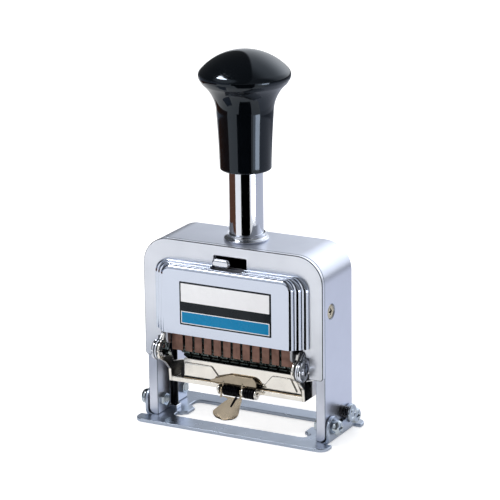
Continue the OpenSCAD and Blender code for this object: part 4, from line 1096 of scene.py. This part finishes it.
class MACHINE_OT_stage(bpy.types.Operator):
    """Lays the pale floor, hangs soft lamps and cards, and sets up the camera"""

    bl_idname = "machine.stage"
    bl_label = "Stage, light and camera"

    def floor(self, tone):
        """Seamless paper with fibres about 2.5 mm long. It shines where the camera or a reflection looks at it."""
        wide = 4
        floor = linked("floor", flat_mesh("floor", [(-wide, -wide, 0), (wide, -wide, 0), (wide, wide, 0),
                                                    (-wide, wide, 0)]))
        floor.location.z = -0.0001
        material, tree, where = blank("seamless_paper")
        fibre = add(tree, "TexNoise", {"Vector": where, "Scale": 1 / (2.5 * MM), "Detail": 3.0})
        tint = add(tree, "Mix", {0: fibre, 6: paint(tone), 7: paint(tone, 0.97)}, 2, data_type="RGBA")
        paper = add(tree, "BsdfDiffuse", {"Color": tint})
        camera, through, glossy = [add(tree, "LightPath", out=f"Is {ray} Ray")
                                   for ray in ("Camera", "Transmission", "Glossy")]
        clear = add(tree, "Math", {0: camera, 1: through}, operation="ADD")
        dim = add(tree, "Math", {0: glossy, 1: 0.12}, operation="MULTIPLY")
        part = add(tree, "Math", {0: clear, 1: 0.55, 2: dim}, operation="MULTIPLY_ADD")
        glow = add(tree, "Emission", {"Color": paint(srgb("#FFFFFF")), "Strength": part})
        add(tree, "OutputMaterial", {"Surface": add(tree, "AddShader", {0: paper, 1: glow})})
        floor.data.materials.append(material)

    def studio(self, scene, daylight):
        """The world: even light, with a bright bank behind and a soft one in front for the reflections."""
        world = scene.world = bpy.data.worlds.new("studio")
        world.use_nodes = True
        tree = world.node_tree
        tree.nodes.clear()
        way = add(tree, "TexCoord", out="Generated")
        behind, ahead, sideways = [add(tree, "VectorMath", {0: way, 1: aim}, "Value", operation="DOT_PRODUCT")
                                   for aim in ((0.19, 0.893, 0.407), (-0.41, -0.77, 0.48), (0.702, 0.482, -0.165))]
        near = add(tree, "MapRange", {"Value": behind, "From Min": 0.75, "From Max": 1.0})
        glow = add(tree, "Math", {0: near, 1: 2.6}, operation="POWER")
        haze = add(tree, "MapRange", {"Value": behind, "From Min": 0.35, "From Max": 0.78, "To Min": 0.22,
                                      "To Max": 1.0}, interpolation_type="SMOOTHSTEP")
        bank = add(tree, "Math", {0: glow, 1: 1.2, 2: haze}, operation="MULTIPLY_ADD")
        front = add(tree, "MapRange", {"Value": ahead, "From Min": 0.82, "From Max": 0.95, "To Min": 0.08,
                                       "To Max": 0.75}, interpolation_type="SMOOTHSTEP")
        side = add(tree, "MapRange", {"Value": sideways, "From Min": -0.01, "From Max": 0.02})
        ceiling = add(tree, "Mix", {0: side, 2: front, 3: bank})
        even, mirror, white = [add(tree, "Background", {"Color": paint(srgb(tone)), "Strength": level}) for tone, level
                               in (("#FCFDFF", daylight), ("#F3F8FF", ceiling), ("#FFFFFF", 1.0))]
        camera, through, glossy = [add(tree, "LightPath", out=f"Is {ray} Ray")
                                   for ray in ("Camera", "Transmission", "Glossy")]
        mixed = add(tree, "MixShader", {0: glossy, 1: even, 2: mirror})
        clear = add(tree, "Math", {0: camera, 1: through}, operation="ADD")
        add(tree, "OutputWorld", {"Surface": add(tree, "MixShader", {0: clear, 1: mixed, 2: white})})

    def lights(self):
        """One soft lamp in front on the left, and the cards that the polished pieces mirror."""
        place, aim = Vector((-0.46, -0.37, 0.83)), Vector((0, 0, 0.07))
        data = bpy.data.lights.new("spot_front_left", "AREA")
        data.shape, data.size, data.size_y, data.energy = "RECTANGLE", 0.4, 0.32, 3.0
        lamp = linked("spot_front_left", data)
        lamp.location = place
        lamp.visible_glossy = False
        lamp.rotation_euler = (aim - place).to_track_quat("-Z", "Y").to_euler()
        way = place - Vector((0, 0, 0.15))
        over = way.cross((0, 0, 1)).normalized()
        rise = over.cross(way).normalized()
        oval = [tuple(place + over * x + rise * y) for x, y in arc(0, 0, 0.22, 0, 345, 23, 0.12)]
        card("card_spot", oval, "#FFFFFF", 34.0, (0.935, 7.0))
        for name, start, end, near, far, tone, level in (
                ("black_near", 2, 55, 0.07, 0.28, "#050505", 0.3),
                ("black_far", -6, 53, 0.28, 2.0, "#050505", 0.3),
                ("streak", 71, 90, 0.33, 0.8, "#F0F5FF", 8.5),
                ("streak_side", 61, 71, 0.33, 0.8, "#F0F5FF", 2.2),
                ("grey", 92, 200, 0.27, 0.43, "#E8EEFF", 0.7),
                ("grey_far", 92, 200, 0.43, 0.75, "#DCE6FF", 0.3),
                ("dim", -120, -8, 0.45, 2.5, "#D4E4FF", 0.42),
                ("side", 92, 200, 0.05, 0.27, "#E8EEFF", 0.85),
                ("brown", -120, -47, 0.262, 0.45, "#6A4A3C", 0.7),
                ("far", 92, 298, 0.75, 3.5, "#E8EEFF", 0.15)):
            card(f"card_{name}", sector(near, far, start, end, 0.0005), tone, level)
        card("card_near", [(x, y, 0.0004) for x, y in ((-0.13, -0.11), (-0.062, -0.11), (-0.062, -0.022),
                                                       (-0.13, -0.022))], "#B0C0DC", 0.4)

    def camera(self, scene):
        """The camera, by its turn, rise and roll in degrees, the point it looks at and its distance in metres."""
        turn, rise, roll = [math.radians(a) for a in (28.006, 16.382, -0.748)]
        aim, distance = Vector((1.103, 0.688, 74.675)) * MM, 1.064652
        back = Vector((math.sin(turn) * math.cos(rise), -math.cos(turn) * math.cos(rise), math.sin(rise)))
        right = Vector((math.cos(turn), math.sin(turn), 0))
        up = back.cross(right)
        x = right * math.cos(roll) + up * math.sin(roll)
        y = up * math.cos(roll) - right * math.sin(roll)
        data = bpy.data.cameras.new("camera")
        data.sensor_width, data.lens = 36.0, 187.98
        data.clip_start, data.clip_end = 0.05, 20.0
        camera = scene.camera = linked("camera", data)
        camera.matrix_world = (Matrix.Translation(aim + back * distance)
                               @ Matrix((x, y, back)).transposed().to_4x4())

    def execute(self, context):
        scene = context.scene
        self.floor(scene.machine_stage.floor)
        self.studio(scene, scene.machine_stage.daylight)
        self.lights()
        self.camera(scene)
        scene.view_settings.view_transform = "Standard"
        return {"FINISHED"}


PIECES = (MACHINE_OT_casing, MACHINE_OT_base, MACHINE_OT_cover, MACHINE_OT_label, MACHINE_OT_catch, MACHINE_OT_screws,
          MACHINE_OT_collar, MACHINE_OT_hold_down, MACHINE_OT_knob, MACHINE_OT_plunger, MACHINE_OT_comb,
          MACHINE_OT_wheels, MACHINE_OT_pawls, MACHINE_OT_pad_carrier, MACHINE_OT_ink_pad, MACHINE_OT_pivots,
          MACHINE_OT_release, MACHINE_OT_stage)


class MACHINE_PT_pieces(bpy.types.Panel):
    """Lists the pieces of the numbering machine and their settings"""

    bl_label = "Numbering machine"
    bl_idname = "MACHINE_PT_pieces"
    bl_space_type = "VIEW_3D"
    bl_region_type = "UI"
    bl_category = "Numbering machine"

    def draw(self, context):
        for name, group in SETTINGS.items():
            box = self.layout.box()
            for prop in group.__annotations__:
                box.prop(getattr(context.scene, name), prop)
        for piece in PIECES:
            self.layout.operator(piece.bl_idname)


def register():
    for cls in (*SETTINGS.values(), *PIECES, MACHINE_PT_pieces):
        bpy.utils.register_class(cls)
    for name, group in SETTINGS.items():
        setattr(bpy.types.Scene, name, PointerProperty(type=group))


def unregister():
    for name in SETTINGS:
        delattr(bpy.types.Scene, name)
    for cls in (MACHINE_PT_pieces, *reversed(PIECES), *reversed(list(SETTINGS.values()))):
        bpy.utils.unregister_class(cls)


def main():
    register()
    for piece in PIECES:
        group, name = piece.bl_idname.split(".")
        getattr(getattr(bpy.ops, group), name)()


if __name__ == "__main__":
    main()
